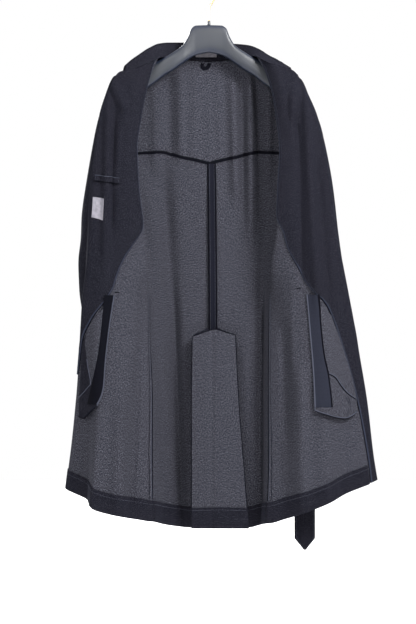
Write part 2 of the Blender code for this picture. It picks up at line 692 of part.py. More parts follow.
def add_hems(side, back, front, facing_starts):
    name = SIDE_NAME[side]
    end = facing_starts[-1] - 0.12
    inside = front.us[(front.us > SEAM + 0.2) & (front.us < end - 0.05)]
    columns = np.concatenate([[SEAM + 0.08], inside, [end]])
    front.lay(f"hem_front_{name}", columns, [hem_v(side, MIDDLE), HEM_END], "cloth_navy", gap=HEM_GAP)
    start = HEM_BACK_START[side]
    inside = back.us[(back.us > start + 0.1) & (back.us < SEAM - 0.2)]
    columns = np.concatenate([[start], inside, [SEAM - 0.08]])
    share = 1.0 - HEM_DEPTH / BACK_LENGTH
    back.lay(f"hem_back_{name}", columns, [share, HEM_END], "cloth_navy", gap=HEM_GAP)


def add_tapes(yoke, backs, fronts):
    top, bottom, half, rows = CENTRE_TAPE
    z = np.linspace(top, bottom, rows)
    centre = read_table(CENTRE_BACK, z)[:, 0]
    y = np.full(rows, PLEAT_FOLD_Y - 0.5 * (WALL + TRIM) - LAY_GAP)
    strip = [placed(np.stack([centre + off, y, z], axis=-1)) for off in (-half, 0.0, half)]
    Panel("tape_centre_back", [0, 1, 2], z, np.stack(strip), WEARER_LEFT, "binding", TRIM)
    yoke.lay("tape_yoke", yoke.us[2:-2], [0.955, 0.99], "binding", TRIM, gap=HEM_GAP)
    for side, front in fronts.items():
        rows = front.vs[(front.vs > line_v(side, SEAM, SIDE_TAPE_TOP)) & (front.vs < 0.9)]
        rows = np.concatenate([rows, [hem_v(side, SEAM) - 0.004]])
        front.lay(f"tape_side_{SIDE_NAME[side]}", [SEAM + 0.05, 4.5, 4.9], rows, "binding", TRIM)


def find_u(side, out, z, low=ROLL + 0.2, high=LAST_SEEN):
    """Line position of the point of a front that is seen at out and z."""
    for _ in range(16):
        middle = 0.5 * (low + high)
        if seen_out(side, middle, z, back=False) < out:
            low = middle
        else:
            high = middle
    return middle


def on_front(front, outs, heights):
    """u and v on a front of a grid of places given as out and z."""
    outs, heights = np.broadcast_arrays(np.asarray(outs, float), np.asarray(heights, float))
    u = np.array([[find_u(front.side, o, z) for o, z in zip(*pair)] for pair in zip(outs, heights)])
    return u, line_v(front.side, u, heights)


def facing_height(side, out):
    """Height of the facing's inner edge at a distance from the centre."""
    edge = sorted((row[1], row[0]) for row in FACING_EDGE[side])
    return np.interp(out, [row[0] for row in edge], [row[1] for row in edge])


def pocket_inner(pocket, edge, z):
    """Where the lower bag layer starts beside the strip, or the upper one further out, at height z."""
    strip = read_table(pocket["strip"], z)
    return strip[..., 0] + POCKET_STRIP if edge == 1 else strip[..., 1]


def add_pocket(front):
    side = front.side
    name = SIDE_NAME[side]
    pocket = POCKET[side]
    shares = np.linspace(0.0, 1.0, 6)
    for layer, (piece, first) in enumerate((("lower", 1), ("upper", 2))):
        outs = []
        heights = []
        for share in shares:
            bottom = np.interp(
                pocket[piece][0][0] + (pocket["reach"] - pocket[piece][0][0]) * share,
                [row[0] for row in pocket[piece]],
                [row[1] for row in pocket[piece]],
            )
            start = pocket_inner(pocket, first, POCKET_MOUTH)
            top = facing_height(side, start + (pocket["reach"] - start) * share) - POCKET_TOP
            z = np.linspace(top, bottom, 6)
            inner = pocket_inner(pocket, first, z)
            outs.append(inner + (pocket["reach"] - inner) * share)
            heights.append(z)
        u, v = on_front(front, np.stack(outs), np.stack(heights))
        start = pocket_inner(pocket, 1, np.stack(heights))
        across_bag = np.clip((np.stack(outs) - start) / (pocket["reach"] - start), 0.0, 1.0)
        rise = POCKET_BULGE * np.sin(math.pi * (0.15 + 0.85 * across_bag))
        rise += layer * (TRIM + POCKET_LAYER_GAP)
        front.lay(f"pocket_{piece}_{name}", u, v, "cloth_grey", TRIM, gap=POCKET_GAP, layer=rise)
    z = np.linspace(pocket["strip"][0][0] - POCKET_TOP + 2.0, pocket["strip"][-1][0] + 6.0, 11)
    edges = read_table(pocket["strip"], z)
    shares = np.linspace(0.0, 1.0, 6)[:, None]
    outs = edges[None, :, 0] - 3.0 + (POCKET_STRIP + 1.6) * shares
    u, v = on_front(front, outs, z[None, :])
    rise = 0.5 * POCKET_BULGE * np.sin(math.pi * (0.9 * shares + 0.1))
    front.lay(f"pocket_strip_{name}", u, v, "cloth_grey", TRIM, gap=POCKET_GAP, layer=rise)


def corner_grid(corners, columns=4, rows=3):
    """Places between an upper and a lower edge, each given by its two ends."""
    corners = np.array(corners, float)
    s = np.linspace(0.0, 1.0, columns)[:, None, None]
    t = np.linspace(0.0, 1.0, rows)[None, :, None]
    upper = corners[0] * (1 - s) + corners[1] * s
    lower = corners[2] * (1 - s) + corners[3] * s
    return upper * (1 - t) + lower * t


def add_facing_trims(front):
    layer = WALL + LAY_GAP
    for name, corners, material in (
        ("breast_welt", BREAST_WELT, "cloth_navy"),
        ("care_label", CARE_LABEL, "label_white"),
    ):
        grid = corner_grid(corners)
        u, v = on_front(front, grid[..., 0], grid[..., 1])
        front.lay(name, u, v, material, TRIM, layer=layer + facing_slack(front, v))


def add_neck_trims():
    left, right, top, bottom = NECK_LABEL
    rows = np.array(COLLAR, float)
    columns = []
    for x in np.linspace(left, right, 4):
        seam = np.array([np.interp(x, rows[:, 0, 0], rows[:, 0, k]) for k in (1, 2)])
        fold = np.array([np.interp(x, rows[:, 1, 0], rows[:, 1, k]) for k in (1, 2)])
        z = np.linspace(top, bottom, 3)
        share = (z - seam[1]) / (fold[1] - seam[1])
        y = seam[0] + (fold[0] - seam[0]) * share - NECK_LABEL_GAP
        columns.append(np.stack([np.full(3, x), y, z], axis=-1))
    add_sheet("neck_label", placed(np.stack(columns)), "label_white", TRIM)
    path = np.array(NECK_LOOP, float)
    steps = np.gradient(path, axis=0)
    steps /= np.linalg.norm(steps, axis=1, keepdims=True)
    sideways = np.stack([-steps[:, 1], steps[:, 0]], axis=-1) * 0.5 * NECK_LOOP_WIDTH
    grid = []
    for edge in (-1.0, 1.0):
        flat = path + edge * sideways
        grid.append(np.stack([flat[:, 0], np.full(len(flat), NECK_LOOP_Y), flat[:, 1]], axis=-1))
    add_sheet("neck_loop", placed(np.stack(grid)), "binding", TRIM)


def belt_side(side, end_rows):
    """Cross lines of the belt where it turns down and hangs, from the fold to its end."""
    half = 0.5 * BELT_WIDTH
    inner = side * (BELT_TAIL_X - half)
    outer = side * (BELT_TAIL_X + half)
    top = BELT_HEIGHT + half
    bottom = BELT_HEIGHT - half
    y = BELT_ROUND[0][1] + 2.0
    lines = [((inner, y + 0.5 * BELT_FOLD_GAP, top), (outer, y + 0.5 * BELT_FOLD_GAP, bottom))]
    lines.append(((inner, y + BELT_FOLD_GAP, top - 14.0), (outer, y + BELT_FOLD_GAP, bottom - 8.0)))
    for z in end_rows:
        depth = read_table(BELT_TAIL, z)[0] + BELT_FOLD_GAP
        lines.append(((inner, depth, z), (outer, depth, z)))
    return lines


def add_belt():
    half = 0.5 * BELT_WIDTH
    down_right = belt_side(WEARER_RIGHT, np.linspace(BELT_HANG_START, BELT_BUCKLE_END, 6))
    down_left = belt_side(WEARER_LEFT, np.linspace(BELT_HANG_START, BELT_TIP[0], 9))
    around = []
    for x in np.linspace(BELT_ROUND[0][0], BELT_ROUND[-1][0], BELT_SECTIONS):
        y = read_table(BELT_ROUND, x)[0]
        around.append(((x, y, BELT_HEIGHT + half), (x, y, BELT_HEIGHT - half)))
    tip_y = down_left[-1][0][1]
    tip = ((BELT_TAIL_X - 2.0, tip_y, BELT_TIP[1]), (BELT_TAIL_X + 2.0, tip_y, BELT_TIP[1]))
    lines = down_right[::-1] + around + down_left + [tip]
    add_sheet("belt", np.array(lines), "cloth_navy")


def add_buckle():
    """A plain frame with rounded corners just below the belt's other end, and its prong."""
    width, height, wire, corner_radius = BUCKLE
    middle_z = BELT_BUCKLE_END - 0.4 - wire - 0.5 * height
    y = read_table(BELT_TAIL, BELT_BUCKLE_END)[0] + BELT_FOLD_GAP
    route = []
    for corner, (sx, sz) in enumerate(((1, 1), (-1, 1), (-1, -1), (1, -1))):
        for step in range(4):
            angle = math.radians(90.0 * corner + 30.0 * step)
            route.append((
                -BELT_TAIL_X + sx * (0.5 * width - corner_radius) + corner_radius * math.cos(angle),
                y,
                middle_z + sz * (0.5 * height - corner_radius) + corner_radius * math.sin(angle),
            ))
    add_wire("buckle", route, wire, "horn", cyclic=True)
    reach = 0.5 * height - wire - 0.6
    prong = [(-BELT_TAIL_X, y - bow, middle_z + up) for bow, up in ((0.0, reach), (1.5, 0.0), (0.0, -reach))]
    add_wire("buckle_prong", prong, PRONG_RADIUS, "brass")


def add_wire(name, route, radius, material, cyclic=False):
    curve = bpy.data.curves.new(name, "CURVE")
    curve.dimensions = "3D"
    spline = curve.splines.new("POLY")
    spline.points.add(len(route) - 1)
    for point, place in zip(spline.points, route):
        point.co = (place[0] * MM, place[1] * MM, place[2] * MM, 1.0)
    spline.use_cyclic_u = cyclic
    curve.bevel_depth = radius * MM
    curve.bevel_resolution = 2
    curve.use_fill_caps = True
    curve.materials.append(MATERIALS[material])
    COAT.objects.link(bpy.data.objects.new(name, curve))


def add_belt_loop(back):
    """A tape from above the belt to below it, outside the side seam."""
    side = back.side
    middle, width, reach = BELT_LOOP
    z = np.array([reach, reach - 3.0, reach - 8.0, 0.0, -reach + 8.0, -reach + 3.0, -reach]) + BELT_HEIGHT
    columns = []
    for x in (middle - 0.5 * width, middle + 0.5 * width):
        coat_y = [back_outside(back, x, height) for height in z[[0, -1]]]
        out = read_table(BELT_ROUND, side * x)[0] + 0.5 * WALL + 0.5 * TRIM + BELT_LOOP_SLACK
        y = np.array([coat_y[0], coat_y[0] + 3.0, out, out, out, coat_y[1] + 3.0, coat_y[1]])
        columns.append(np.stack([np.full(len(z), side * x), y, z], axis=-1))
    add_sheet(f"belt_loop_{SIDE_NAME[side]}", np.stack(columns), "cloth_navy", TRIM)


def back_outside(back, x, z):
    """y just outside the back at x and z."""
    u = np.linspace(2.5, SEAM - 0.05, 60)
    v = np.full(60, np.interp(z, back.grid[-4, ::-1, 2], back.vs[::-1]))
    points = back.at(u, v, -(0.5 * WALL + 0.5 * TRIM + 0.8))
    return points[np.argmin(abs(abs(points[:, 0]) - x)), 1]


def add_buttons(front):
    for number, (u, z) in enumerate(BUTTONS, start=1):
        v = line_v(front.side, u, z)
        place = front.at(u, v, -(0.5 * WALL + 0.5 * BUTTON_THICKNESS + BUTTON_SHANK)).reshape(3)
        outwards = place - front.at(u, v).reshape(3)
        button = add_cylinder(f"button_{number}", BUTTON_RADIUS, BUTTON_THICKNESS, place, "horn", sides=16)
        button.rotation_euler = Vector(outwards).to_track_quat("Z", "Y").to_euler()


def armhole_point(angle):
    """A point of the armhole, from the shoulder tip round the back to the underarm and up the front."""
    rows = np.array(ARMHOLE + ARMHOLE[:3], float)
    t = (angle % (2 * math.pi)) / (2 * math.pi) * len(ARMHOLE)
    i = int(t)
    s = t - i
    before = rows[(i - 1) % len(ARMHOLE)]
    p, q, after = rows[i], rows[i + 1], rows[i + 2]
    return hermite(p, q, (q - before) / 2, (after - p) / 2, 1.0, s)


def sleeve_grid(side):
    """Rings from just outside the armhole down to the cuff."""
    top = SLEEVE[0][0]
    cuff = SLEEVE[-1][0]
    loops = []
    for share in np.linspace(0.0, 1.0, SLEEVE_RINGS):
        z = top + (cuff - top) * share
        middle, depth, half_width, half_depth, tilt = read_table(SLEEVE, z)
        joined = 1.0 - smoothstep(share, -0.02, SLEEVE_HEAD)
        loop = []
        for angle in np.linspace(0.0, 2 * math.pi, SLEEVE_SIDES, endpoint=False):
            start = armhole_point(angle)
            lift = (1.0 - smoothstep(share, 0.0, 1.5 * SLEEVE_HEAD)) * (start[2] - top)
            tube = np.array([
                middle + half_width * math.cos(angle),
                depth + half_depth * math.sin(angle),
                z + tilt * math.cos(angle) * (1.0 - share) + lift * joined,
            ])
            start[0] += SLEEVE_SEAM_STEP
            loop.append(start * joined + tube * (1.0 - joined))
        loops.append(loop)
    grid = np.array(loops)
    grid[..., 0] *= side
    return grid


def closed_tube_mesh(name, loops):
    rings, sides = loops.shape[:2]
    vertices = (loops.reshape(-1, 3) * MM).tolist()
    faces = [
        (i * sides + j, i * sides + (j + 1) % sides, (i + 1) * sides + (j + 1) % sides, (i + 1) * sides + j)
        for i in range(rings - 1)
        for j in range(sides)
    ]
    mesh = bpy.data.meshes.new(name)
    mesh.from_pydata(vertices, [], faces)
    return mesh


def add_sleeve(side):
    name = f"sleeve_{SIDE_NAME[side]}"
    item = add_object(name, closed_tube_mesh(name, placed(sleeve_grid(side))), "cloth_navy")
    solidify = item.modifiers.new("wall", "SOLIDIFY")
    solidify.thickness = WALL * MM
    solidify.offset = 0.0


def add_collar():
    """The stand rises from the neck seam to the fold line, and the leaf turns over it and falls outside."""
    rows = np.array(COLLAR, float).reshape(len(COLLAR), 1, 1, 9)
    places = np.linspace(0.0, len(rows) - 1.0, COLLAR_SECTIONS)
    dense = np.stack([across(rows, np.array([[place]]))[0, 0] for place in places])
    seam = dense[:, 0:3]
    fold = dense[:, 3:6]
    edge = dense[:, 6:9]
    stand_top = fold + (seam - fold) * 0.03
    stand = [seam + (fold - seam) * STAND_START, 0.5 * (seam + stand_top), stand_top]
    add_sheet("collar_stand", placed(np.stack(stand, axis=1)), "cloth_navy")
    rise = fold - seam
    rise /= np.linalg.norm(rise, axis=1, keepdims=True)
    outwards = edge - seam
    outwards[:, 2] = 0.0
    outwards /= np.linalg.norm(outwards, axis=1, keepdims=True)
    crest = fold + 0.9 * rise + outwards
    turn = fold + outwards * COLLAR_TURN
    leaf = [crest, turn, 0.5 * (turn + edge) + outwards * LEAF_BULGE, edge]
    add_sheet("collar_leaf", placed(np.stack(leaf, axis=1)), "cloth_navy")


def add_cylinder(name, radius, height, middle, material, sides=20):
    build = bmesh.new()
    bmesh.ops.create_cone(
        build,
        cap_ends=True,
        segments=sides,
        radius1=radius * MM,
        radius2=radius * MM,
        depth=height * MM,
    )
    mesh = bpy.data.meshes.new(name)
    build.to_mesh(mesh)
    build.free()
    item = add_object(name, mesh, material)
    item.location = [part * MM for part in middle]
    mesh.set_sharp_from_angle(angle=math.radians(40))
    return item


def superellipse(count, half_width, half_height, power=2.6):
    points = []
    for i in range(count):
        angle = 2 * math.pi * (i + 0.5) / count
        c = math.cos(angle)
        s = math.sin(angle)
        points.append((
            half_width * math.copysign(abs(c) ** (2 / power), c),
            half_height * math.copysign(abs(s) ** (2 / power), s),
        ))
    return points


def add_hanger():
    xs = np.concatenate([np.linspace(0, 60, 9), np.linspace(72, 190, 9), [194, 197]])
    xs = np.concatenate([-xs[:0:-1], xs])
    rings = []
    for x in xs:
        top, bottom, half = read_table(HANGER_ARM, abs(x))
        rings.append([
            (x, y, 0.5 * (top + bottom) + dz)
            for y, dz in superellipse(HANGER_SIDES, half, 0.5 * (top - bottom))
        ])
    mesh = closed_tube_mesh("hanger_body", np.array(rings))
    build = bmesh.new()
    build.from_mesh(mesh)
    bmesh.ops.holes_fill(build, edges=build.edges, sides=0)
    bmesh.ops.recalc_face_normals(build, faces=build.faces)
    build.to_mesh(mesh)
    build.free()
    add_object("hanger_body", mesh, "hanger_plastic")

    route = [(x, 0.0, z) for x, z in HOOK_SHANK]
    middle = HOOK_WIRE / 2 - HOOK_RADIUS
    for angle in np.radians(np.linspace(*HOOK_SWEEP)):
        route.append((HOOK_RADIUS * math.cos(angle), 0.0, middle + HOOK_RADIUS * math.sin(angle)))
    add_wire("hanger_hook", route, HOOK_WIRE / 2, "brass")
    radius, length = FERRULE
    add_cylinder("hanger_ferrule", radius, length, (0.0, 0.0, SHANK_BOTTOM - 0.3 - length / 2), "hanger_plastic")


clear_scene()
COAT = collection_named("trench_coat")
MATERIALS = make_materials()
YOKE = add_yoke()
BACKS = {half: add_back(half) for half in (WEARER_RIGHT, WEARER_LEFT)}
FRONTS = {half: add_front(half) for half in (WEARER_RIGHT, WEARER_LEFT)}
PLEAT_PANEL = add_pleat()
for half in (WEARER_RIGHT, WEARER_LEFT):
    FACING, STARTS = add_facing(FRONTS[half])
    add_hems(half, BACKS[half], FRONTS[half], STARTS)
    add_pocket(FRONTS[half])
    add_sleeve(half)
    add_belt_loop(BACKS[half])
add_facing_trims(FRONTS[WEARER_RIGHT])
add_buttons(FRONTS[WEARER_LEFT])
PLEAT_HEM = [1.0 - HEM_DEPTH / PLEAT_LENGTH, HEM_END]
PLEAT_PANEL.lay("hem_pleat", PLEAT_PANEL.us, PLEAT_HEM, "cloth_navy", gap=HEM_GAP)
add_tapes(YOKE, BACKS, FRONTS)
add_collar()
add_neck_trims()
add_belt()
add_buckle()
add_hanger()
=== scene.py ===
"""Looks of the trench coat that hangs open on its hanger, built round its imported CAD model.

Lengths are in millimetres until they reach a mesh, where MM makes them metres. The tables follow the
CAD model's, with more creases and other pocket outlines. Cloth tables hold x, y and z as they measure when
seen square on from EYE_DISTANCE in front of the hanger, and placed() moves each point along its line of
sight to its own depth. The cloth is sampled finely, creased and given its edges, stitching and weave.
"""

import math

import bmesh
import bpy
import numpy as np
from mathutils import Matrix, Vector


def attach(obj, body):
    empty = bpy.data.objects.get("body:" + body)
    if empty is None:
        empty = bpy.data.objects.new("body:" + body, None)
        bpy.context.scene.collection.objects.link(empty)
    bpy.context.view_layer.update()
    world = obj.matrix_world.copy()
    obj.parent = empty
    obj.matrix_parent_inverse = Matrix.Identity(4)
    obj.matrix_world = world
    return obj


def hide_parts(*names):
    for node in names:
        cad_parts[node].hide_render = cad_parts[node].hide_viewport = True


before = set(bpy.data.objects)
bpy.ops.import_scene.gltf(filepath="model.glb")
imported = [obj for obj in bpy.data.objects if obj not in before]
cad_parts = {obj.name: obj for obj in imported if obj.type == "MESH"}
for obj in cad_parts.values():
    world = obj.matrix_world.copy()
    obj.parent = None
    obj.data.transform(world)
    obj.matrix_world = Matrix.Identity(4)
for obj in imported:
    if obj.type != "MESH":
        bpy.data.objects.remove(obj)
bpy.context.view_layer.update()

MM = 0.001
EYE_DISTANCE = 3200.0
EYE_HEIGHT = -734.0

WALL = 1.7
TRIM = 0.7
LAY_GAP = 0.25
HEM_DEPTH = 44.0
SHOULDER_ROUND = 10.0

WEARER_RIGHT = -1
WEARER_LEFT = 1
SIDE_NAME = {WEARER_RIGHT: "right", WEARER_LEFT: "left"}

# Lines that run down each half of the coat, from the centre back round to the leading edge. The quarter line
# is 1, the ridge 8 and the line past it 9
LINES = 12
CENTRE, NECK, BLADE, SEAM, FIRST, ROLL, MIDDLE, BEND, LEAD = 0, 2, 3, 4, 5, 6, 7, 10, 11

# Back lines. Columns: z, then y at the centre, then (out from the centre, y) of quarter, neck, blade and
# seam
BACK = {
    WEARER_RIGHT: [
        (-170, 36, (46, 32), (98, 16), (148, 14), (204, 8)),
        (-230, 40, (46, 42), (95, 38), (146, 32), (196, 22)),
        (-300, 46, (44, 48), (90, 47), (140, 42), (184, 32)),
        (-375, 52, (42, 54), (86, 54), (132, 51), (175, 36)),
        (-455, 56, (42, 58), (82, 60), (126, 58), (168, 22)),
        (-560, 60, (40, 62), (78, 64), (118, 60), (160, 24)),
        (-700, 60, (36, 64), (72, 66), (106, 54), (131, 18)),
        (-800, 60, (36, 62), (70, 64), (104, 46), (129, 8)),
        (-930, 60, (36, 60), (68, 64), (102, 42), (124, 2)),
        (-1060, 60, (36, 60), (68, 64), (102, 40), (124, -4)),
        (-1200, 60, (38, 60), (70, 64), (102, 36), (122, -10)),
    ],
    WEARER_LEFT: [
        (-170, 36, (46, 32), (98, 16), (146, 14), (200, 8)),
        (-230, 40, (46, 42), (95, 38), (144, 32), (192, 22)),
        (-300, 46, (46, 48), (90, 47), (138, 42), (182, 32)),
        (-375, 52, (46, 55), (86, 52), (130, 50), (174, 36)),
        (-455, 56, (46, 60), (84, 58), (126, 58), (168, 22)),
        (-560, 60, (46, 62), (84, 62), (118, 64), (160, 24)),
        (-700, 60, (46, 62), (82, 60), (112, 66), (134, 18)),
        (-800, 60, (48, 60), (84, 56), (110, 64), (132, 8)),
        (-930, 60, (50, 60), (86, 54), (108, 62), (131, 2)),
        (-1060, 60, (52, 60), (88, 54), (110, 58), (131, -4)),
        (-1200, 60, (54, 60), (92, 52), (112, 50), (127, -10)),
    ],
}

# Front lines. Columns: z, then (out, y) of seam, first, roll, middle, ridge, past, bend, lead
FRONT_RIGHT = [
    (-170, (204, -4), (148, -5), (110, -12), (152, -42), (192, -46), (204, -46), (212, -46), (215, -45)),
    (-230, (199, -10), (160, -26), (136, -34), (160, -50), (200, -48), (209, -48), (215, -48), (219, -47)),
    (-300, (184, -24), (168, -32), (150, -40), (176, -54), (214, -50), (226, -50), (234, -50), (239, -48)),
    (-375, (174, -24), (170, -33), (160, -43), (186, -54), (222, -51), (236, -51), (244, -51), (249, -49)),
    (-455, (168, -2), (168, -24), (156, -42), (188, -54), (226, -52), (242, -51), (253, -50), (259, -46)),
    (-560, (160, 24), (159, -2), (143, -32), (184, -51), (230, -54), (248, -52), (259, -49), (264, -42)),
    (-640, (146, 24), (149, 4), (134, -14), (182, -46), (232, -56), (252, -52), (266, -46), (268, -32)),
    (-700, (131, 18), (134, 10), (139, 1), (182, -42), (234, -58), (256, -52), (274, -42), (272, -24)),
    (-800, (129, 8), (135, 1), (146, -7), (186, -42), (238, -60), (260, -46), (281, -26), (276, 6)),
    (-930, (124, 2), (132, -5), (148, -13), (192, -44), (239, -62), (262, -36), (292, -2), (280, 56)),
    (-1060, (124, -4), (134, -11), (154, -19), (195, -48), (248, -64), (263, -28), (306, 14), (294, 84)),
    (-1200, (122, -10), (134, -16), (158, -22), (196, -52), (261, -66), (266, -20), (325, 34), (310, 106)),
]
FRONT_LEFT = [
    (-170, (200, -4), (146, -5), (106, -12), (142, -42), (178, -46), (192, -46), (200, -46), (203, -45)),
    (-230, (194, -10), (156, -26), (135, -34), (160, -50), (192, -48), (200, -48), (205, -48), (208, -47)),
    (-300, (182, -24), (167, -32), (149, -40), (174, -54), (208, -50), (222, -50), (231, -50), (236, -48)),
    (-375, (174, -24), (170, -33), (157, -43), (188, -54), (224, -51), (241, -51), (251, -51), (256, -49)),
    (-455, (168, -2), (168, -24), (153, -42), (190, -54), (232, -53), (252, -52), (265, -51), (270, -47)),
    (-560, (160, 24), (160, -2), (149, -32), (190, -51), (238, -56), (262, -54), (279, -50), (282, -40)),
    (-640, (147, 24), (151, 6), (138, -12), (188, -46), (242, -58), (272, -54), (294, -46), (293, -26)),
    (-700, (134, 18), (137, 10), (142, 1), (188, -42), (246, -58), (278, -50), (305, -38), (300, -8)),
    (-800, (132, 8), (138, 1), (148, -7), (190, -42), (248, -60), (286, -46), (324, -26), (316, 30)),
    (-930, (131, 2), (139, -5), (152, -12), (196, -44), (250, -62), (292, -40), (345, -14), (334, 58)),
    (-1060, (131, -4), (141, -11), (158, -18), (200, -46), (254, -64), (296, -34), (361, -4), (350, 72)),
    (-1200, (127, -10), (139, -16), (162, -22), (202, -48), (259, -66), (304, -28), (386, 4), (374, 84)),
]
FRONT = {WEARER_RIGHT: FRONT_RIGHT, WEARER_LEFT: FRONT_LEFT}

# Height of the top edge and of the hem along each of the twelve lines
TOP = {
    WEARER_RIGHT: (-184, -180, -168, -191, -211, -191, -174, -197, -206, -219, -238, -250),
    WEARER_LEFT: (-184, -180, -168, -190, -212, -190, -174, -190, -203, -217, -232, -242),
}
HEM = {
    WEARER_RIGHT: (-1207, -1206, -1203, -1198, -1193, -1192, -1188, -1182, -1164, -1146, -1120, -1110),
    WEARER_LEFT: (-1208, -1207, -1205, -1200, -1197, -1196, -1189, -1177, -1156, -1132, -1103, -1096),
}

# Soft folds. Columns: side, first and last line it may touch, x at the top, z at the top, x at the
# bottom, z at the bottom, half width, depth towards the viewer
FOLDS = [
    (WEARER_RIGHT, CENTRE, SEAM, -97, -430, -60, -1180, 16, -13),
    (WEARER_RIGHT, CENTRE, SEAM, -90, -210, -84, -390, 13, -8),
    (WEARER_LEFT, CENTRE, SEAM, 53, -220, 60, -480, 12, 7),
    (WEARER_LEFT, CENTRE, SEAM, 73, -220, 78, -520, 11, -8),
    (WEARER_LEFT, CENTRE, SEAM, 90, -220, 92, -560, 11, 8),
    (WEARER_LEFT, CENTRE, SEAM, 112, -240, 112, -500, 11, -8),
    (WEARER_RIGHT, ROLL, BEND, -147, -830, -172, -1180, 15, -10),
    (WEARER_RIGHT, ROLL, BEND, -192, -900, -200, -1180, 17, 8),
    (WEARER_RIGHT, MIDDLE, LEAD, -176, -300, -214, -230, 9, 6),
    (WEARER_LEFT, ROLL, BEND, 165, -770, 168, -1000, 15, -10),
    (WEARER_LEFT, ROLL, BEND, 200, -860, 206, -1180, 17, 9),
    (WEARER_LEFT, MIDDLE, LEAD, 190, -240, 166, -400, 9, 6),
]

# Centre back seam and yoke seam. Columns: z, x of the centre back line
CENTRE_BACK = [(-170, -2), (-400, 6), (-770, 9), (-1210, 9)]
# Columns: out from the centre, z of the yoke seam
YOKE_SEAM = [(0, -410), (30, -402), (60, -396), (88, -390), (115, -386), (190, -385)]

# Inverted pleat. Columns: z, x of the underlay's wearer-right edge, x of its wearer-left edge, y
PLEAT = [
    (-771, -36, 58, 34),
    (-930, -38, 66, 28),
    (-1060, -38, 76, 24),
    (-1210, -38, 88, 22),
]
PLEAT_OPENS = (-766, -788)
PLEAT_CORNERS = (-788, -784)
PLEAT_APEX = (13, -771)
PLEAT_FOLD_Y = 54.0
PLEAT_BEHIND = 2.3
PLEAT_BOW = 3.0
# Crease down the underlay: x from the apex, depth, half width
PLEAT_CREASE = (-6.0, 2.5, 5.0)
PLEAT_LENGTH = 430.0
SEAM_ALLOWANCE = 10.0
BACK_LENGTH = 810.0
BINDING = 5.0
# Section of the centre back tape, whose two edges are pressed open. Columns: share of half width, rise
CENTRE_TAPE_SECTION = [
    (-1.0, 0.0), (-0.93, 0.7), (-0.82, 1.0), (-0.7, 0.7), (-0.6, 0.2), (-0.3, 0.25), (-0.08, 0.3),
    (0.0, -0.1), (0.08, 0.3), (0.3, 0.25), (0.6, 0.2), (0.7, 0.7), (0.82, 1.0), (0.93, 0.7), (1.0, 0.0),
]
# Centre back seam tape. z of its two ends, half width
CENTRE_TAPE = (-408.0, -808.0, 9.0)
SIDE_TAPE_TOP = -705.0

FACING_ROLL_START = ROLL + 0.12
# Line position where a front turns away from the viewer
LAST_SEEN = BEND + 0.42

# Facing inner edge as seen. Columns: z, out from the centre. Below the pocket the facing on the wearer's
# right lies behind the fold
FACING_EDGE = {
    WEARER_RIGHT: [(-556, 152), (-584, 168), (-613, 186), (-648, 202), (-681, 213), (-710, 231), (-751, 259),
                   (-790, 276), (-860, 285), (-930, 293), (-1060, 308), (-1110, 316)],
    WEARER_LEFT: [(-531, 155), (-556, 165), (-593, 176), (-617, 188), (-666, 215), (-727, 264), (-795, 289),
                  (-868, 311), (-960, 333), (-1077, 353), (-1120, 358)],
}

# Pocket on the inside of each front. Columns of strip: z, out of its two edges. Columns of the bags' bottom
# edges: out, z. Columns of free, the upper bag's own outer edge: z, out
POCKET = {
    WEARER_RIGHT: {
        "strip": [(-692, 209, 229), (-771, 221, 236), (-844, 229, 243), (-900, 233, 250), (-943, 243, 256)],
        "upper": [(236, -884), (244, -889), (251, -893), (278, -893)],
        "lower": [(234, -940), (248, -956), (262, -966), (278, -964)],
        "free": [(-770, 280), (-795, 274), (-817, 268), (-850, 260), (-893, 251), (-940, 256)],
        "reach": 280,
    },
    WEARER_LEFT: {
        "strip": [(-690, 217, 241), (-767, 223, 247), (-828, 228, 253), (-875, 231, 261), (-949, 235, 266)],
        "upper": [(247, -868), (261, -875), (274, -892), (295, -910), (325, -928)],
        "lower": [(235, -949), (253, -957), (274, -964), (295, -966), (315, -959), (328, -948)],
        "reach": 322,
    },
}
POCKET_TOP = 16.0
POCKET_MOUTH = -720.0
POCKET_BULGE = 4.5
NECK_LABEL_GAP = 2.4

# Pieces on the wearer's right facing. Corners as (out, z), upper then lower edge
BREAST_WELT = ((196, -440), (250, -433), (196, -452), (252, -445))
CARE_LABEL = ((229, -485), (254, -481), (231, -533), (256, -526))
NECK_LABEL = (-29.0, 17.0, -152.0, -173.4)

# Hanging loop at the neck, a tape that lies flat. Columns: x, z
NECK_LOOP = [(-13.5, -187), (-14.5, -193), (-11.5, -198), (-5, -197), (0, -192.5), (1, -187)]
NECK_LOOP_WIDTH = 7.5
NECK_LOOP_Y = 34.2

# Belt round the outside of the back, then down behind each side. Columns: x, y
BELT_ROUND = [(-188, 62), (-150, 46), (-122, 66), (-92, 82), (-50, 80), (0, 76), (50, 76), (100, 80),
              (122, 70), (150, 48), (188, 64)]
BELT_WIDTH = 46.0
BELT_HEIGHT = -640.0
BELT_FOLD_GAP = 4.0
# Columns: z, y of the hanging stretch
BELT_TAIL = [(-620, 70), (-760, 68), (-860, 62), (-960, 44), (-1100, 30), (-1262, 24)]
BELT_TAIL_X = 213.0
BELT_TIP = (-1236.0, -1262.0)
BELT_BUCKLE_END = -1000.0
BELT_HANG_START = -700.0
# Width, height, wire radius, corner radius
BUCKLE = (62.0, 54.0, 3.2, 7.0)
PRONG_RADIUS = 1.6
PRONG_BOW = 1.5
PRONG_RINGS = 17
# Out from the centre, width, half length
BELT_LOOP = (146.0, 10.0, 34.0)
BELT_LOOP_SLACK = 3.2

# Buttons on the outside of the wearer's left front. Columns: line, z
BUTTONS = [(7.6, -470), (8.9, -470), (7.4, -560), (9.2, -560), (7.3, -655), (9.1, -655)]
BUTTON_THICKNESS = 3.5
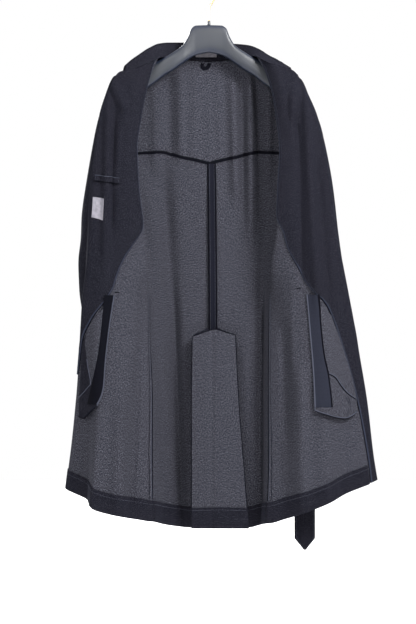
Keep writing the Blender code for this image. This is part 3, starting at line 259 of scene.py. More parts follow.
# Rings of a button out from its middle: radius, height. Then its holes: radius out, and rings of their rims
BUTTON_RINGS = [(8.0, -1.75), (11.0, -1.3), (12.0, 0.0), (11.6, 1.2), (10.6, 1.75), (9.4, 1.6), (8.4, 0.9),
                (6.0, 0.6)]
BUTTON_HOLE_OUT = 2.4
BUTTON_HOLE_RINGS = [(0.62, 1.05), (0.95, 0.85), (0.62, 0.6)]
BUTTON_SHANK = 0.9

# Collar from the wearer's right end to the left end. Columns: neck seam, fold line and leaf edge, each as
# (x, y, z)
COLLAR = [
    ((-184, -47, -206), (-182, -36, -193), (-199, -35, -262)),
    ((-165, -46, -197), (-167, -32, -180), (-192, -31, -238)),
    ((-140, -41, -186), (-150, -28, -168), (-180, -17, -204)),
    ((-122, -31, -175), (-129, -16, -154), (-160, 12, -182)),
    ((-104, -10, -166), (-108, 0, -145), (-136, 44, -190)),
    ((-88, 12, -164), (-88, 22, -143), (-102, 60, -206)),
    ((-60, 28, -176), (-63, 38, -143), (-66, 66, -220)),
    ((0, 33, -184), (0, 42, -144), (0, 68, -226)),
    ((58, 28, -176), (60, 38, -146), (64, 66, -220)),
    ((86, 12, -164), (88, 22, -149), (102, 60, -206)),
    ((102, -10, -167), (107, 0, -156), (136, 44, -192)),
    ((118, -30, -176), (131, -16, -171), (158, 12, -184)),
    ((136, -41, -186), (148, -28, -181), (176, -17, -206)),
    ((154, -46, -193), (163, -32, -189), (186, -31, -240)),
    ((172, -47, -199), (176, -36, -197), (194, -35, -264)),
]
COLLAR_TURN = 5.0
LEAF_BULGE = 2.25
# Size of the leaf's waves along and across it, height
LEAF_WAVES = (45.0, 30.0, 1.2)
# A place within the neck, which the collar's inner face looks to
COLLAR_MIDDLE = np.array([0.0, -40.0, -150.0])

# Sleeve rings. Columns: z, x of the ring's middle out from the centre, y, half width, half depth, tilt of
# the ring's outer end down
SLEEVE = [
    (-395, 216, 14, 44, 34, 22),
    (-470, 224, 18, 49, 38, 10),
    (-560, 229, 20, 52, 37, 4),
    (-650, 231, 20, 55, 36, 0),
    (-720, 225, 22, 54, 34, 0),
    (-780, 210, 26, 51, 32, 0),
    (-835, 198, 28, 49, 30, 0),
]
ARMHOLE = [(204, 0, -208), (190, 24, -262), (179, 37, -335), (172, 34, -410), (168, 12, -462),
           (170, -20, -415), (176, -26, -345), (190, -17, -265)]
SLEEVE_HEAD = 0.24
SLEEVE_SEAM_STEP = 2.5
SLEEVE_CREASE = 1.7
SLEEVE_ROWS = 150
SLEEVE_SIDES = 72

# Hanger. Columns: out from the centre, top, bottom, half thickness
HANGER_ARM = [
    (0, -103, -163, 9), (28, -104, -169, 9), (38, -110, -174, 9.5), (46, -129, -179, 10),
    (57, -147, -187, 11), (80, -163.5, -203, 12), (98, -174.5, -214, 12), (112, -182, -225, 12),
    (130, -187.5, -238, 12), (148, -193.6, -249, 11.5), (175, -204.6, -256, 9.0), (190, -212.0, -252, 6.5),
    (197, -217, -243, 4),
]
HOOK_WIRE = 4.0
HOOK_RADIUS = 24.0
SHANK_BOTTOM = -93.0
# Columns: x, z of the wire's way up to where its round bend begins
HOOK_SHANK = [(0.0, SHANK_BOTTOM), (0.0, -76.0), (1.4, -64.0), (7.0, -54.5)]
# First and last angle of the round bend
HOOK_SWEEP = (-52.0, 200.0)
# Radius, length
FERRULE = (3.6, 9.6)
# Columns: share of its radius, share of its length down
FERRULE_PROFILE = [(0.0, 0.0), (0.72, 0.0), (0.8, 0.04), (0.86, 0.3), (0.94, 0.6), (1.0, 0.95), (0.98, 1.0),
                   (0.0, 1.0)]
# Columns of points at the hanger's rounded end
HANGER_END = [191.5, 193, 194.5, 196, 197]

# How much taller the ridges and deeper the valleys are in fine cloth than in the CAD model
RIDGE_SHARE = 1.9
VALLEY_SHARE = 1.05
# Extra creases that only show close to. Columns as in FOLDS
CREASES = [
    (WEARER_RIGHT, MIDDLE, LEAD, -170, -262, -184, -318, 6, 5.7),
    (WEARER_RIGHT, MIDDLE, LEAD, -196, -330, -206, -470, 9, 4.8),
    (WEARER_RIGHT, MIDDLE, LEAD, -196, -412, -203, -470, 4, -3.0),
    (WEARER_LEFT, MIDDLE, LEAD, 200, -250, 176, -330, 6, 5.7),
    (WEARER_LEFT, MIDDLE, LEAD, 172, -345, 184, -430, 7, 5.7),
    (WEARER_LEFT, MIDDLE, LEAD, 214, -330, 222, -640, 12, 5.7),
    (WEARER_LEFT, MIDDLE, LEAD, 240, -420, 268, -760, 10, -4.8),
    (WEARER_RIGHT, CENTRE, SEAM, -120, -230, -116, -420, 10, 4.0),
    (WEARER_LEFT, CENTRE, SEAM, 20, -200, 26, -400, 12, 3.0),
    (WEARER_RIGHT, CENTRE, SEAM, -30, -200, -34, -420, 12, 3.0),
    (WEARER_RIGHT, CENTRE, SEAM, -122, -640, -88, -1000, 8, 3.0),
    (WEARER_LEFT, CENTRE, SEAM, 100, -640, 112, -1180, 9, 2.5),
    (WEARER_LEFT, ROLL, BEND, 182, -700, 186, -1150, 7, 3.0),
    (WEARER_RIGHT, ROLL, BEND, -160, -720, -186, -1150, 7, 3.0),
    (WEARER_LEFT, CENTRE, SEAM, 101, -215, 106, -420, 7, -6.0),
    (WEARER_LEFT, BLADE, SEAM, 122, -700, 118, -1190, 6, -22.0),
    (WEARER_RIGHT, CENTRE, SEAM, -141, -430, -107, -660, 15, 8.0),
    (WEARER_RIGHT, CENTRE, SEAM, -76, -700, -56, -1180, 9, -9.0),
    (WEARER_LEFT, CENTRE, SEAM, 132, -210, 132, -480, 9, 7.0),
    (WEARER_RIGHT, CENTRE, SEAM, -60, -190, -62, -400, 11, 5.0),
    (WEARER_LEFT, MIDDLE, LEAD, 160, -330, 172, -520, 7, 9.5),
    (WEARER_LEFT, MIDDLE, LEAD, 190, -300, 205, -660, 9, -9.5),
    (WEARER_LEFT, MIDDLE, LEAD, 214, -260, 240, -700, 9, 11.4),
    (WEARER_RIGHT, MIDDLE, LEAD, -164, -330, -172, -520, 7, 7.6),
    (WEARER_RIGHT, MIDDLE, LEAD, -222, -280, -228, -620, 8, 9.5),
    (WEARER_RIGHT, MIDDLE, LEAD, -206, -300, -214, -560, 7, -7.6),
]
FOLDS = [(*row[:-1], row[-1] * (RIDGE_SHARE if row[-1] > 0 else VALLEY_SHARE)) for row in FOLDS] + CREASES
# Ripples in the cloth: size of the waves across and down, height
RIPPLES = [(38.0, 120.0, 0.9), (17.0, 46.0, 0.35)]

YOKE_SEAM_GAP = -0.004
PLEAT_SHARES = (0.99, 0.8, 0.6, 0.4, 0.2, 0.06)
FACING_SLACK = 0.5
STAND_START = 0.05
# Where the facing's slack starts, is full, starts to end and has ended, read on the line FACING_SLANT_LINE
FACING_SLANT = (-480.0, -535.0, -800.0, -860.0)
FACING_SLANT_LINE = 8.0
BINDING_WALL = 0.6
# Rows round an edge that is rolled over, and halvings when a place on a line is searched for
ROLL_STEPS = 6
SEARCH_STEPS = 18
BINDING_LIFT = 0.15
HEM_WALL = 1.5
HEM_LIFT = 0.2
CENTRE_TAPE_Y = 51.6
YOKE_TAPE_LIFT = 1.0
POCKET_GAP = 0.5
POCKET_LAYER_GAP = 1.2
POCKET_RIPPLE = 0.8
# How far each sleeve's head is drawn in and down, to lie under the shoulder
SLEEVE_HEAD_SHIFT = {WEARER_RIGHT: (3.0, 7.0), WEARER_LEFT: (10.0, 12.0)}
# How far the facing stops short of the fold at the neck, in lines
FACING_TOP_BACK = 0.22
FACING_GAP = 0.35
# Below this height a dark cord of painted shadow runs beside each facing's inner edge
FACING_SHADE_START = -560.0
STRIP_RISE = 1.6
# Height where the painted shadow line beside each pocket strip ends
POCKET_LINE_END = {WEARER_RIGHT: -893.0, WEARER_LEFT: -868.0}
POCKET_DROPS = (835.0, 950.0)
POCKET_FOLD = ((251.0, 280.0), (-893.0, -922.0))
BARTACK = {WEARER_RIGHT: (197.0, 207.0, -690.0), WEARER_LEFT: (194.0, 203.0, -681.0)}
STITCH_STEP = 3.4
STITCH_LENGTH = 2.4
THREAD_RADIUS = 0.28
STITCH_SIDES = 6
# Rings of one stitch. Columns: place along it, rise, radius, as shares of length, lift and thread
STITCH_RINGS = [(-0.5, 0.1, 0.5), (-0.2, 1.0, 1.0), (0.2, 1.0, 1.0), (0.5, 0.1, 0.5)]
SLEEVE_ALLOWANCE = [(11.0, 0.93), (6.0, 0.955), (2.0, 0.985)]
BUTTON_OUT = 3.0
STAND_DIP = 0.5
POCKET_DROP = 6.0
WELT_RISE = 2.0
# Cords along the welt: a light turned edge at its top, and dark cords at its mouth and beneath it that are
# painted shade. Columns: name, row of its grid, radius, rise, look
WELT_CORDS = [("top", 0, 0.7, 0.3, "edge"), ("mouth", 2, 0.7, 0.4, "tape"), ("under", -1, 0.8, 0.2, "tape")]

# What each sheet is cut to, in millimetres: node, width, length, the share of that rectangle which is
# cloth, how it is held, and what it hangs from or lies on
SHEETS = [
    ("back_yoke", 420, 250, 0.88, "hung", ["hanger_body"]),
    ("back_left", 270, 850, 0.80, "hung", ["back_yoke"]),
    ("back_right", 270, 850, 0.80, "hung", ["back_yoke"]),
    ("back_pleat", 130, 440, 0.86, "hung", ["back_left", "back_right"]),
    ("front_left", 300, 1030, 0.76, "hung", ["hanger_body", "back_left"]),
    ("front_right", 290, 1030, 0.71, "hung", ["hanger_body", "back_right"]),
    ("facing_left", 200, 950, 0.57, "hung", ["front_left"]),
    ("facing_right", 160, 950, 0.52, "hung", ["front_right"]),
    ("facing_binding_left", 10, 960, 1.0, "folded", ["facing_left"]),
    ("facing_binding_right", 10, 960, 1.0, "folded", ["facing_right"]),
    ("sleeve_left", 270, 630, 0.86, "hung", ["front_left", "back_left"]),
    ("sleeve_right", 270, 630, 0.86, "hung", ["front_right", "back_right"]),
    ("collar_stand", 400, 40, 0.85, "folded", ["back_yoke"]),
    ("collar_leaf", 500, 75, 0.82, "folded", ["collar_stand"]),
    ("hem_back_left", 170, 48, 1.0, "folded", ["back_left"]),
    ("hem_back_right", 175, 48, 1.0, "folded", ["back_right"]),
    ("hem_front_left", 275, 48, 1.0, "folded", ["front_left"]),
    ("hem_front_right", 310, 48, 1.0, "folded", ["front_right"]),
    ("hem_pleat", 130, 50, 1.0, "folded", ["back_pleat"]),
    ("tape_centre_back", 22, 400, 1.0, "folded", ["back_left", "back_right"]),
    ("tape_yoke", 360, 10, 1.0, "folded", ["back_yoke"]),
    ("tape_side_left", 10, 456, 1.0, "folded", ["front_left"]),
    ("tape_side_right", 10, 456, 1.0, "folded", ["front_right"]),
    ("pocket_lower_left", 110, 260, 0.62, "hung", ["front_left"]),
    ("pocket_lower_right", 90, 250, 0.60, "hung", ["front_right"]),
    ("pocket_upper_left", 85, 210, 0.43, "hung", ["pocket_lower_left"]),
    ("pocket_upper_right", 50, 180, 0.55, "hung", ["pocket_lower_right"]),
    ("pocket_strip_left", 28, 265, 1.0, "hung", ["front_left"]),
    ("pocket_strip_right", 17, 255, 1.0, "hung", ["front_right"]),
    ("breast_welt", 56, 16, 1.0, "laid", ["facing_right"]),
    ("care_label", 27, 52, 1.0, "laid", ["facing_right"]),
    ("neck_label", 47, 23, 1.0, "laid", ["collar_stand"]),
    ("neck_loop", 10, 36, 1.0, "folded", ["collar_stand"]),
    ("belt", 46, 1560, 1.0, "hung", ["belt_loop_left", "belt_loop_right"]),
    ("belt_loop_left", 10, 112, 1.0, "stretched", ["back_left"]),
    ("belt_loop_right", 10, 112, 1.0, "stretched", ["back_right"]),
]
SHEET_FITTINGS = {
    "belt": ["buckle", "buckle_prong"],
    "front_left": [f"button_{number}" for number in range(1, 7)],
}


def tangents(knots, values):
    """Slopes of a curve through the values that never overshoots them, along the first axis."""
    steps = np.diff(knots).reshape((-1,) + (1,) * (values.ndim - 1))
    slopes = np.diff(values, axis=0) / steps
    before = slopes[:-1]
    after = slopes[1:]
    same = before * after > 0
    total = np.where(same, before + after, 1.0)
    inner = np.where(same, 2.0 * before * after / total, 0.0)
    return np.concatenate([slopes[:1], inner, slopes[-1:]])


def hermite(start, end, start_slope, end_slope, step, s):
    s2 = s * s
    s3 = s2 * s
    return (
        (2 * s3 - 3 * s2 + 1) * start
        + (s3 - 2 * s2 + s) * step * start_slope
        + (3 * s2 - 2 * s3) * end
        + (s3 - s2) * step * end_slope
    )


def flat_row(row):
    """A table row's numbers, with its (out, y) pairs opened up."""
    return [float(number) for item in row for number in (item if isinstance(item, tuple) else (item,))]


def read_table(rows, at):
    """Values of a table's later columns where its first column is at."""
    flat = np.array([flat_row(row) for row in rows])
    if flat[0, 0] > flat[-1, 0]:
        flat = flat[::-1]
    knots = flat[:, 0]
    values = flat[:, 1:]
    slopes = tangents(knots, values)
    at = np.clip(np.asarray(at, float), knots[0], knots[-1])
    i = np.clip(np.searchsorted(knots, at, side="right") - 1, 0, len(knots) - 2)
    step = (knots[i + 1] - knots[i])[..., None]
    s = (at - knots[i])[..., None] / step
    return hermite(values[i], values[i + 1], slopes[i], slopes[i + 1], step, s)


def across(lines, u):
    """Points at u along a curve through the lines, whose first axis counts them from 0."""
    slopes = tangents(np.arange(len(lines), dtype=float), lines)
    i = np.clip(np.floor(u).astype(int), 0, len(lines) - 2)
    s = (u - i)[..., None]
    rows, columns = np.indices(u.shape)
    return hermite(
        lines[i, rows, columns],
        lines[i + 1, rows, columns],
        slopes[i, rows, columns],
        slopes[i + 1, rows, columns],
        1.0,
        s,
    )


def placed(points):
    """Points as seen from the front, moved along the line of sight to their own depth."""
    k = 1.0 + points[..., 1:2] / EYE_DISTANCE
    x = points[..., 0:1] * k
    z = EYE_HEIGHT + (points[..., 2:3] - EYE_HEIGHT) * k
    return np.concatenate([x, points[..., 1:2], z], axis=-1)


def smoothstep(value, low, high):
    t = np.clip((value - low) / (high - low), 0.0, 1.0)
    return t * t * (3.0 - 2.0 * t)


def folded(points, u, side):
    depth = np.zeros(points.shape[:-1])
    for fold_side, first, last, x_top, z_top, x_bottom, z_bottom, width, height in FOLDS:
        if fold_side != side:
            continue
        x = points[..., 0]
        z = points[..., 2]
        t = (z - z_top) / (z_bottom - z_top)
        line = x_top + (x_bottom - x_top) * np.clip(t, 0.0, 1.0)
        ends = smoothstep(t, -0.15, 0.15) * (1.0 - smoothstep(t, 0.85, 1.15))
        lines = smoothstep(u, first, first + 0.5) * (1.0 - smoothstep(u, last - 0.5, last))
        depth += height * np.exp(-(((x - line) / width) ** 2)) * ends * lines
    moved = points.copy()
    moved[..., 1] -= depth
    return moved


def half_coat(side, u, v, back):
    """Points of one half of the shell. u runs along the twelve lines and v from top edge to hem."""
    u, v = np.broadcast_arrays(np.asarray(u, float), np.asarray(v, float))
    lines = np.zeros((LINES,) + v.shape + (3,))
    for line in range(LINES):
        top = TOP[side][line]
        z = top + (HEM[side][line] - top) * v
        behind = line < SEAM or (line == SEAM and back)
        row = read_table((BACK if behind else FRONT)[side], z)
        if line == CENTRE:
            x = read_table(CENTRE_BACK, z)[..., 0]
            y = row[..., 0]
        else:
            column = 2 * line - 1 if behind else 2 * (line - SEAM)
            x = side * row[..., column]
            y = row[..., column + 1]
        if NECK <= line <= FIRST:
            y = y * np.sqrt(np.clip((top - z) / SHOULDER_ROUND, 0.0, 1.0))
        lines[line] = np.stack([x, y, z], axis=-1)
    return placed(folded(across(lines, u), u, side))


def line_ends(side, u):
    """Heights of the top edge and of the hem on the line u."""
    return np.interp(u, range(LINES), TOP[side]), np.interp(u, range(LINES), HEM[side])


def line_z(side, u, v):
    """Height, as seen, at v on the line u."""
    top, hem = line_ends(side, u)
    return top + (hem - top) * v


def line_v(side, u, z):
    """How far down the line u the height z is, from 0 at the top edge to 1 at the hem."""
    top, hem = line_ends(side, u)
    return (z - top) / (hem - top)


def spread(start, end, count, near_start=1.0):
    """Numbers from start to end, closer together near the start as near_start rises above 1."""
    return start + (end - start) * np.linspace(0.0, 1.0, count) ** near_start


def soft_noise(x, y, seed):
    """Smooth heights between -1 and 1 that change over a distance of about 1."""
    table = np.random.default_rng(seed).uniform(-1.0, 1.0, (97, 97))
    i = np.floor(x).astype(int)
    j = np.floor(y).astype(int)
    s = x - i
    t = y - j
    s = s * s * (3.0 - 2.0 * s)
    t = t * t * (3.0 - 2.0 * t)
    i, j = i % 97, j % 97
    k, m = (i + 1) % 97, (j + 1) % 97
    low = table[i, j] * (1 - s) + table[k, j] * s
    high = table[i, m] * (1 - s) + table[k, m] * s
    return low * (1 - t) + high * t


def unit(vectors):
    length = np.linalg.norm(vectors, axis=-1, keepdims=True)
    return vectors / np.maximum(length, 1e-9)


def normals_of(grid, closed=False):
    """Unit normals of a grid of points, from its columns and its rows."""
    if closed:
        columns = np.roll(grid, -1, axis=0) - np.roll(grid, 1, axis=0)
    else:
        columns = np.gradient(grid, axis=0)
    return unit(np.cross(columns, np.gradient(grid, axis=1)))


def rippled(grid, inwards, seed, fade):
    """The grid with low soft ripples in the cloth, which fade to nothing at its seams."""
    lengths = arc_lengths(grid)
    for number, (across_size, down_size, height) in enumerate(RIPPLES):
        waves = soft_noise(lengths[..., 0] / across_size, lengths[..., 1] / down_size, seed + 10 * number)
        grid = grid + inwards * (height * waves * fade)[..., None]
    return grid


def run_along(points, axis=0):
    """How far each point lies from the first, along the cloth and along one axis of its grid."""
    steps = np.cumsum(np.linalg.norm(np.diff(points, axis=axis), axis=-1), axis=axis)
    return np.concatenate([np.zeros_like(np.take(steps, [0], axis=axis)), steps], axis=axis)


def arc_lengths(grid):
    """How far each point lies across and down its own piece, along the cloth."""
    s = run_along(grid)
    return np.stack([s - s.mean(axis=0) + s.mean(), run_along(grid, 1)], axis=-1)


def read_along(values, places, at):
    """Rows of three numbers, known at places, read at other places."""
    return np.stack([np.interp(at, places, values[:, k]) for k in range(3)], axis=-1)


def circle(sides):
    return np.linspace(0.0, 2.0 * math.pi, sides, endpoint=False)


def ring_faces(rings, sides, first=0):
    """Quads between rings of corners that are numbered from first, then the two faces that close the ends."""
    faces = [
        (first + i * sides + j, first + i * sides + (j + 1) % sides,
         first + (i + 1) * sides + (j + 1) % sides, first + (i + 1) * sides + j)
        for i in range(rings - 1)
        for j in range(sides)
    ]
    return faces + [tuple(first + ring * sides + j for j in range(sides)) for ring in (0, rings - 1)]


def quads_of(columns, rows, closed=False):
    """Corner numbers of the quads of a grid. A closed grid's last column joins its first."""
    i, j = np.meshgrid(np.arange(columns - (not closed)), np.arange(rows - 1), indexing="ij")
    k = (i + 1) % columns
    corners = np.stack([i * rows + j, k * rows + j, k * rows + j + 1, i * rows + j + 1], axis=-1)
    return corners.reshape(-1, 4)


PIECES = {}
TRIMS = {}


def add_piece(name, vertices, faces, looks, uv=None, kinds=None, sharp=50.0, trim=False):
    """A smooth mesh piece, in millimetres, that rides on the model.

    It stands for the CAD node of its name and is named for it, unless it is a trim.
    """
    mesh = bpy.data.meshes.new(name)
    mesh.from_pydata((np.asarray(vertices) * MM).tolist(), [], faces)
    for look in looks:
        mesh.materials.append(LOOKS[look])
    if kinds is not None:
        mesh.polygons.foreach_set("material_index", np.asarray(kinds, np.int32))
    if uv is not None:
        layer = mesh.uv_layers.new(name="cloth")
        corners = np.empty(len(mesh.loops), np.int32)
        mesh.loops.foreach_get("vertex_index", corners)
        layer.data.foreach_set("uv", (np.asarray(uv)[corners] * MM).astype(np.float32).ravel())
    mesh.shade_smooth()
    mesh.set_sharp_from_angle(angle=math.radians(sharp))
    mesh.update()
    piece = bpy.data.objects.new(name, mesh)
    bpy.context.scene.collection.objects.link(piece)
    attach(piece, "root")
    if trim:
        TRIMS[piece.name] = piece
    else:
        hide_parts(name)
        piece.name = f"{name}_look"
        PIECES[name] = piece
    return piece


def add_shell(name, grid, inwards, wall, looks, closed=False, bands=None):
    """A sheet of cloth with its two faces and its rim. looks names its inside, its outside and its rim.

    bands gives the look of each strip of its inside, where that is not the first.
    """
    columns, rows = grid.shape[:2]
    count = columns * rows
    half = 0.5 * wall * inwards
    vertices = np.concatenate([(grid + half).reshape(-1, 3), (grid - half).reshape(-1, 3)])
    inner = quads_of(columns, rows, closed)
    a, b, c, d = (vertices[inner[:, k]] for k in range(4))
    facing_in = np.cross(c - a, d - b)
    turned = (facing_in * inwards.reshape(-1, 3)[inner[:, 0]]).sum() < 0
    outer = inner[:, ::-1] + count
    if turned:
        inner = inner[:, ::-1]
        outer = outer[:, ::-1]
    number = np.arange(count).reshape(columns, rows)
    if closed:
        edges = [np.append(number[:, 0], number[0, 0]), np.append(number[::-1, -1], number[-1, -1])]
    else:
        loop = [number[:, 0], number[-1, 1:], number[-2::-1, -1], number[0, -2::-1]]
        edges = [np.concatenate(loop)]
    rim = []
    for edge in edges:
        quad = np.stack([edge[:-1], edge[:-1] + count, edge[1:] + count, edge[1:]], axis=-1)
        rim.append(quad[:, ::-1] if turned else quad)
    rim = np.concatenate(rim)
    faces = np.concatenate([inner, outer, rim])
    inside = np.zeros(len(inner)) if bands is None else np.repeat(bands, rows - 1)
    kinds = np.concatenate([inside, np.ones(len(outer)), np.full(len(rim), 2)])
    lengths = arc_lengths(grid).reshape(-1, 2)
    uv = np.concatenate([lengths, lengths])
    return add_piece(name, vertices, faces.tolist(), looks, uv, kinds)


class Panel:
    """A sheet of cloth with its grid of points, so that other pieces can be laid on its inside."""

    def __init__(self, us, vs, grid, side, ripple_seed=None, ripple_fade=None):
        self.us = np.asarray(us, float)
        self.vs = np.asarray(vs, float)
        self.side = side
        self.inwards = -side * normals_of(grid)
        if ripple_seed is not None:
            grid = rippled(grid, self.inwards, ripple_seed, ripple_fade)
            self.inwards = -side * normals_of(grid)
        self.grid = grid

    def at(self, u, v, lift=0.0):
        """Points at u and v lifted towards the inside of the coat, and the way inwards there."""
        u, v = np.broadcast_arrays(np.asarray(u, float), np.asarray(v, float))
        a = np.clip(np.interp(u, self.us, np.arange(len(self.us))), 0, len(self.us) - 1.0001)
        b = np.clip(np.interp(v, self.vs, np.arange(len(self.vs))), 0, len(self.vs) - 1.0001)
        i = a.astype(int)
        j = b.astype(int)
        s = (a - i)[..., None]
        t = (b - j)[..., None]
        place, inwards = (
            (1 - s) * (1 - t) * field[i, j]
            + s * (1 - t) * field[i + 1, j]
            + s * t * field[i + 1, j + 1]
            + (1 - s) * t * field[i, j + 1]
            for field in (self.grid, self.inwards)
        )
        inwards = unit(inwards)
        return place + inwards * np.broadcast_to(lift, u.shape)[..., None], inwards

    def shell(self, name, looks, wall=WALL):
        return add_shell(name, self.grid, self.inwards, wall, looks)

    def lay(self, us, vs, wall, lift=0.0, under=WALL):
        """Points and inward ways of a piece that lies on this one, with lift more than touching."""
        us = us[:, None] if us.ndim == 1 else us
        return self.at(us, vs, 0.5 * under + LAY_GAP + 0.5 * wall + lift)


def rolled(edge, away, inwards, depth):
    """Rows of points that carry a piece's edge round the outside of what it lies on, depth behind it."""
    centre = edge - inwards * 0.5 * depth
    angles = math.pi * np.arange(1, ROLL_STEPS + 1) / ROLL_STEPS
    rows = [centre + 0.5 * depth * (inwards * math.cos(a) + away * math.sin(a)) for a in angles]
    return np.stack(rows), np.stack([unit(row - centre) for row in rows])


def seen(points):
    """Distance from the middle, and height, at which points are seen from the front."""
    k = 1.0 + points[..., 1] / EYE_DISTANCE
    return points[..., 0] / k, EYE_HEIGHT + (points[..., 2] - EYE_HEIGHT) / k


def searched(low, high, short):
    """Numbers between low and high where short, which says that a number is too low, stops being true."""
    for _ in range(SEARCH_STEPS):
        middle = 0.5 * (low + high)
        below = short(middle)
        low = np.where(below, middle, low)
        high = np.where(below, high, middle)
    return middle


def front_u(side, outs, heights):
    """Line positions of the places of a front that are seen at outs and heights."""
    outs, heights = np.broadcast_arrays(np.asarray(outs, float), np.asarray(heights, float))

    def short(middle):
        flat = middle.reshape(-1, 1)
        v = line_v(side, flat, heights.reshape(-1, 1))
        return side * seen(half_coat(side, flat, v, back=False))[0].reshape(outs.shape) < outs

    return searched(np.full(outs.shape, ROLL + 0.2), np.full(outs.shape, LAST_SEEN), short)


def lay_seen(front, outs, heights, lift):
    """Points and inward ways of a trim laid on a front where it is seen at outs and heights."""
    u = front_u(front.side, outs, heights)
    return front.lay(u, line_v(front.side, u, heights), TRIM, lift)


def yoke_v(side, u):
    """Where the yoke seam crosses the lines u."""
    u = np.asarray(u, float).reshape(-1, 1)
    point = half_coat(side, u, line_v(side, u, np.full(u.shape, -390.0)), back=True)
    return line_v(side, u, read_table(YOKE_SEAM, side * seen(point)[0])[..., 0])[:, 0]


def facing_u(side, vs):
    """Line positions of the facing's inner edge at the heights vs."""
    edge = FACING_EDGE[side]

    def short(middle):
        point = half_coat(side, middle[:, None], vs[:, None], back=False)[:, 0]
        return side * seen(point)[0] < read_table(edge, line_z(side, middle, vs))[:, 0]

    middle = searched(np.full(len(vs), FACING_ROLL_START), np.full(len(vs), LAST_SEEN), short)
    top = line_z(side, ROLL + 0.5, vs)
    blend = smoothstep(-top, -edge[0][0] - 25.0, -edge[0][0] + 25.0)
    return FACING_ROLL_START + (middle - FACING_ROLL_START) * blend


class Look:
    """A material under construction: its shader, and helpers that add the nodes that feed it."""

    def __init__(self, name, colour, roughness, metallic=0.0):
        self.material = bpy.data.materials.new(name)
        self.material.use_nodes = True
        self.tree = self.material.node_tree
        self.shader = self.tree.nodes["Principled BSDF"]
        self.set("Base Color", (*colour, 1.0))
        self.set("Roughness", roughness)
        self.set("Metallic", metallic)
        self.material.diffuse_color = (*colour, 1.0)

    def set(self, socket, value):
        self.shader.inputs[socket].default_value = value

    def node(self, kind, **settings):
        made = self.tree.nodes.new(kind)
        for key, value in settings.items():
            if hasattr(made, key):
                setattr(made, key, value)
            else:
                self.feed(made.inputs[key.replace("_", " ").title()], value)
        return made

    def feed(self, socket, value):
        if isinstance(value, bpy.types.NodeSocket):
            self.tree.links.new(value, socket)
        else:
            socket.default_value = value

    def math(self, operation, first, second=0.0):
        made = self.node("ShaderNodeMath", operation=operation)
        self.feed(made.inputs[0], first)
        self.feed(made.inputs[1], second)
        return made.outputs[0]

    def place(self, kind="UV", scale=(1.0, 1.0, 1.0), turn=0.0):
        """Coordinates in metres along the cloth, or in the model's space, scaled and turned."""
        source = self.node("ShaderNodeTexCoord")
        moved = self.node("ShaderNodeMapping")
        self.tree.links.new(source.outputs[kind], moved.inputs["Vector"])
        moved.inputs["Rotation"].default_value = (0.0, 0.0, turn)
        moved.inputs["Scale"].default_value = scale
        return moved.outputs["Vector"]

    def noise(self, place, scale, detail=2.0, roughness=0.5):
        made = self.node("ShaderNodeTexNoise", Scale=scale, Detail=detail, Roughness=roughness)
        self.tree.links.new(place, made.inputs["Vector"])
        return made.outputs["Fac"]

    def waves(self, place, scale, distortion=0.0, direction="X"):
        made = self.node("ShaderNodeTexWave", Scale=scale, Distortion=distortion)
        made.bands_direction = direction
        self.tree.links.new(place, made.inputs["Vector"])
        return made.outputs["Fac"]

    def ramp(self, value, low, high, start=0.0, end=1.0):
        made = self.node("ShaderNodeMapRange")
        self.feed(made.inputs["Value"], value)
        made.inputs["From Min"].default_value = low
        made.inputs["From Max"].default_value = high
        made.inputs["To Min"].default_value = start
        made.inputs["To Max"].default_value = end
        return made.outputs["Result"]

    def mix(self, factor, first, second, blend="MIX"):
        made = self.node("ShaderNodeMix", data_type="RGBA", blend_type=blend)
        self.feed(made.inputs[0], factor)
        for socket, value in ((made.inputs[6], first), (made.inputs[7], second)):
            self.feed(socket, value if isinstance(value, bpy.types.NodeSocket) else (*value, 1.0))
        return made.outputs[2]

    def colour(self, socket):
        self.tree.links.new(socket, self.shader.inputs["Base Color"])

    def bump(self, height, strength, distance):
        made = self.node("ShaderNodeBump")
        made.inputs["Strength"].default_value = strength
        made.inputs["Distance"].default_value = distance
        self.tree.links.new(height, made.inputs["Height"])
        self.tree.links.new(made.outputs["Normal"], self.shader.inputs["Normal"])

    def sheen(self, weight, roughness, tint):
        self.set("Sheen Weight", weight)
        self.set("Sheen Roughness", roughness)
        self.set("Sheen Tint", (*tint, 1.0))


# Colours of the looks, linear
GREY_DARK = (0.0026, 0.0026, 0.0041)
GREY_MID = (0.0148, 0.0153, 0.0212)
GREY_LIGHT = (0.1420, 0.1420, 0.1668)
NAVY = (0.0041, 0.0041, 0.0067)
NAVY_LIGHT = (0.0870, 0.0870, 0.1071)
BINDING_BLUE = (0.0196, 0.0225, 0.0353)
BINDING_DARK = (0.0018, 0.0019, 0.0034)
STITCH_BLUE = (0.050, 0.056, 0.085)
STRIP_BLUE = (0.0131, 0.0145, 0.0218)
# Painted shadow for dark cords beneath edges and between layers, and the bartacks' dark thread
SHADOW_AND_BARTACK_DARK = (0.0022, 0.0022, 0.0040)
EDGE_GREY = (0.0435, 0.0469, 0.0643)
ALLOWANCE = (0.0056, 0.0059, 0.0097)
LABEL = (0.0769, 0.0745, 0.0868)
PLASTIC = (0.0053, 0.0074, 0.0121)
# Painted shade along the hanger body's edges, and the dark of its mottling
PLASTIC_SHADE_AND_MOTTLE = (0.004, 0.007, 0.017)
BRASS = (0.62, 0.45, 0.24)
HORN = (0.030, 0.023, 0.020)

# Sizes in the weave, as waves or spots to the metre. A wave texture's scale is its waves divided by TURN
TURN = 6.2832
YARNS = 900.0
TWILL = 620.0
FLECKS = 500.0
MOTTLE = 95.0
TWILL_TURN = math.radians(38.0)


def weave(look):
    """Flecks of light and dark yarn, soft mottling, and the ridges of a twill."""
    place = look.place()
    drawn_out = look.place(scale=(1.0, 0.75, 1.0))
    fleck = look.noise(drawn_out, FLECKS, detail=5.0, roughness=0.85)
    mottle = look.noise(place, MOTTLE)
    ridges = look.waves(look.place(turn=TWILL_TURN), TWILL / TURN, distortion=1.2)
    yarns = look.noise(place, YARNS, detail=1.0)
    return fleck, mottle, ridges, yarns


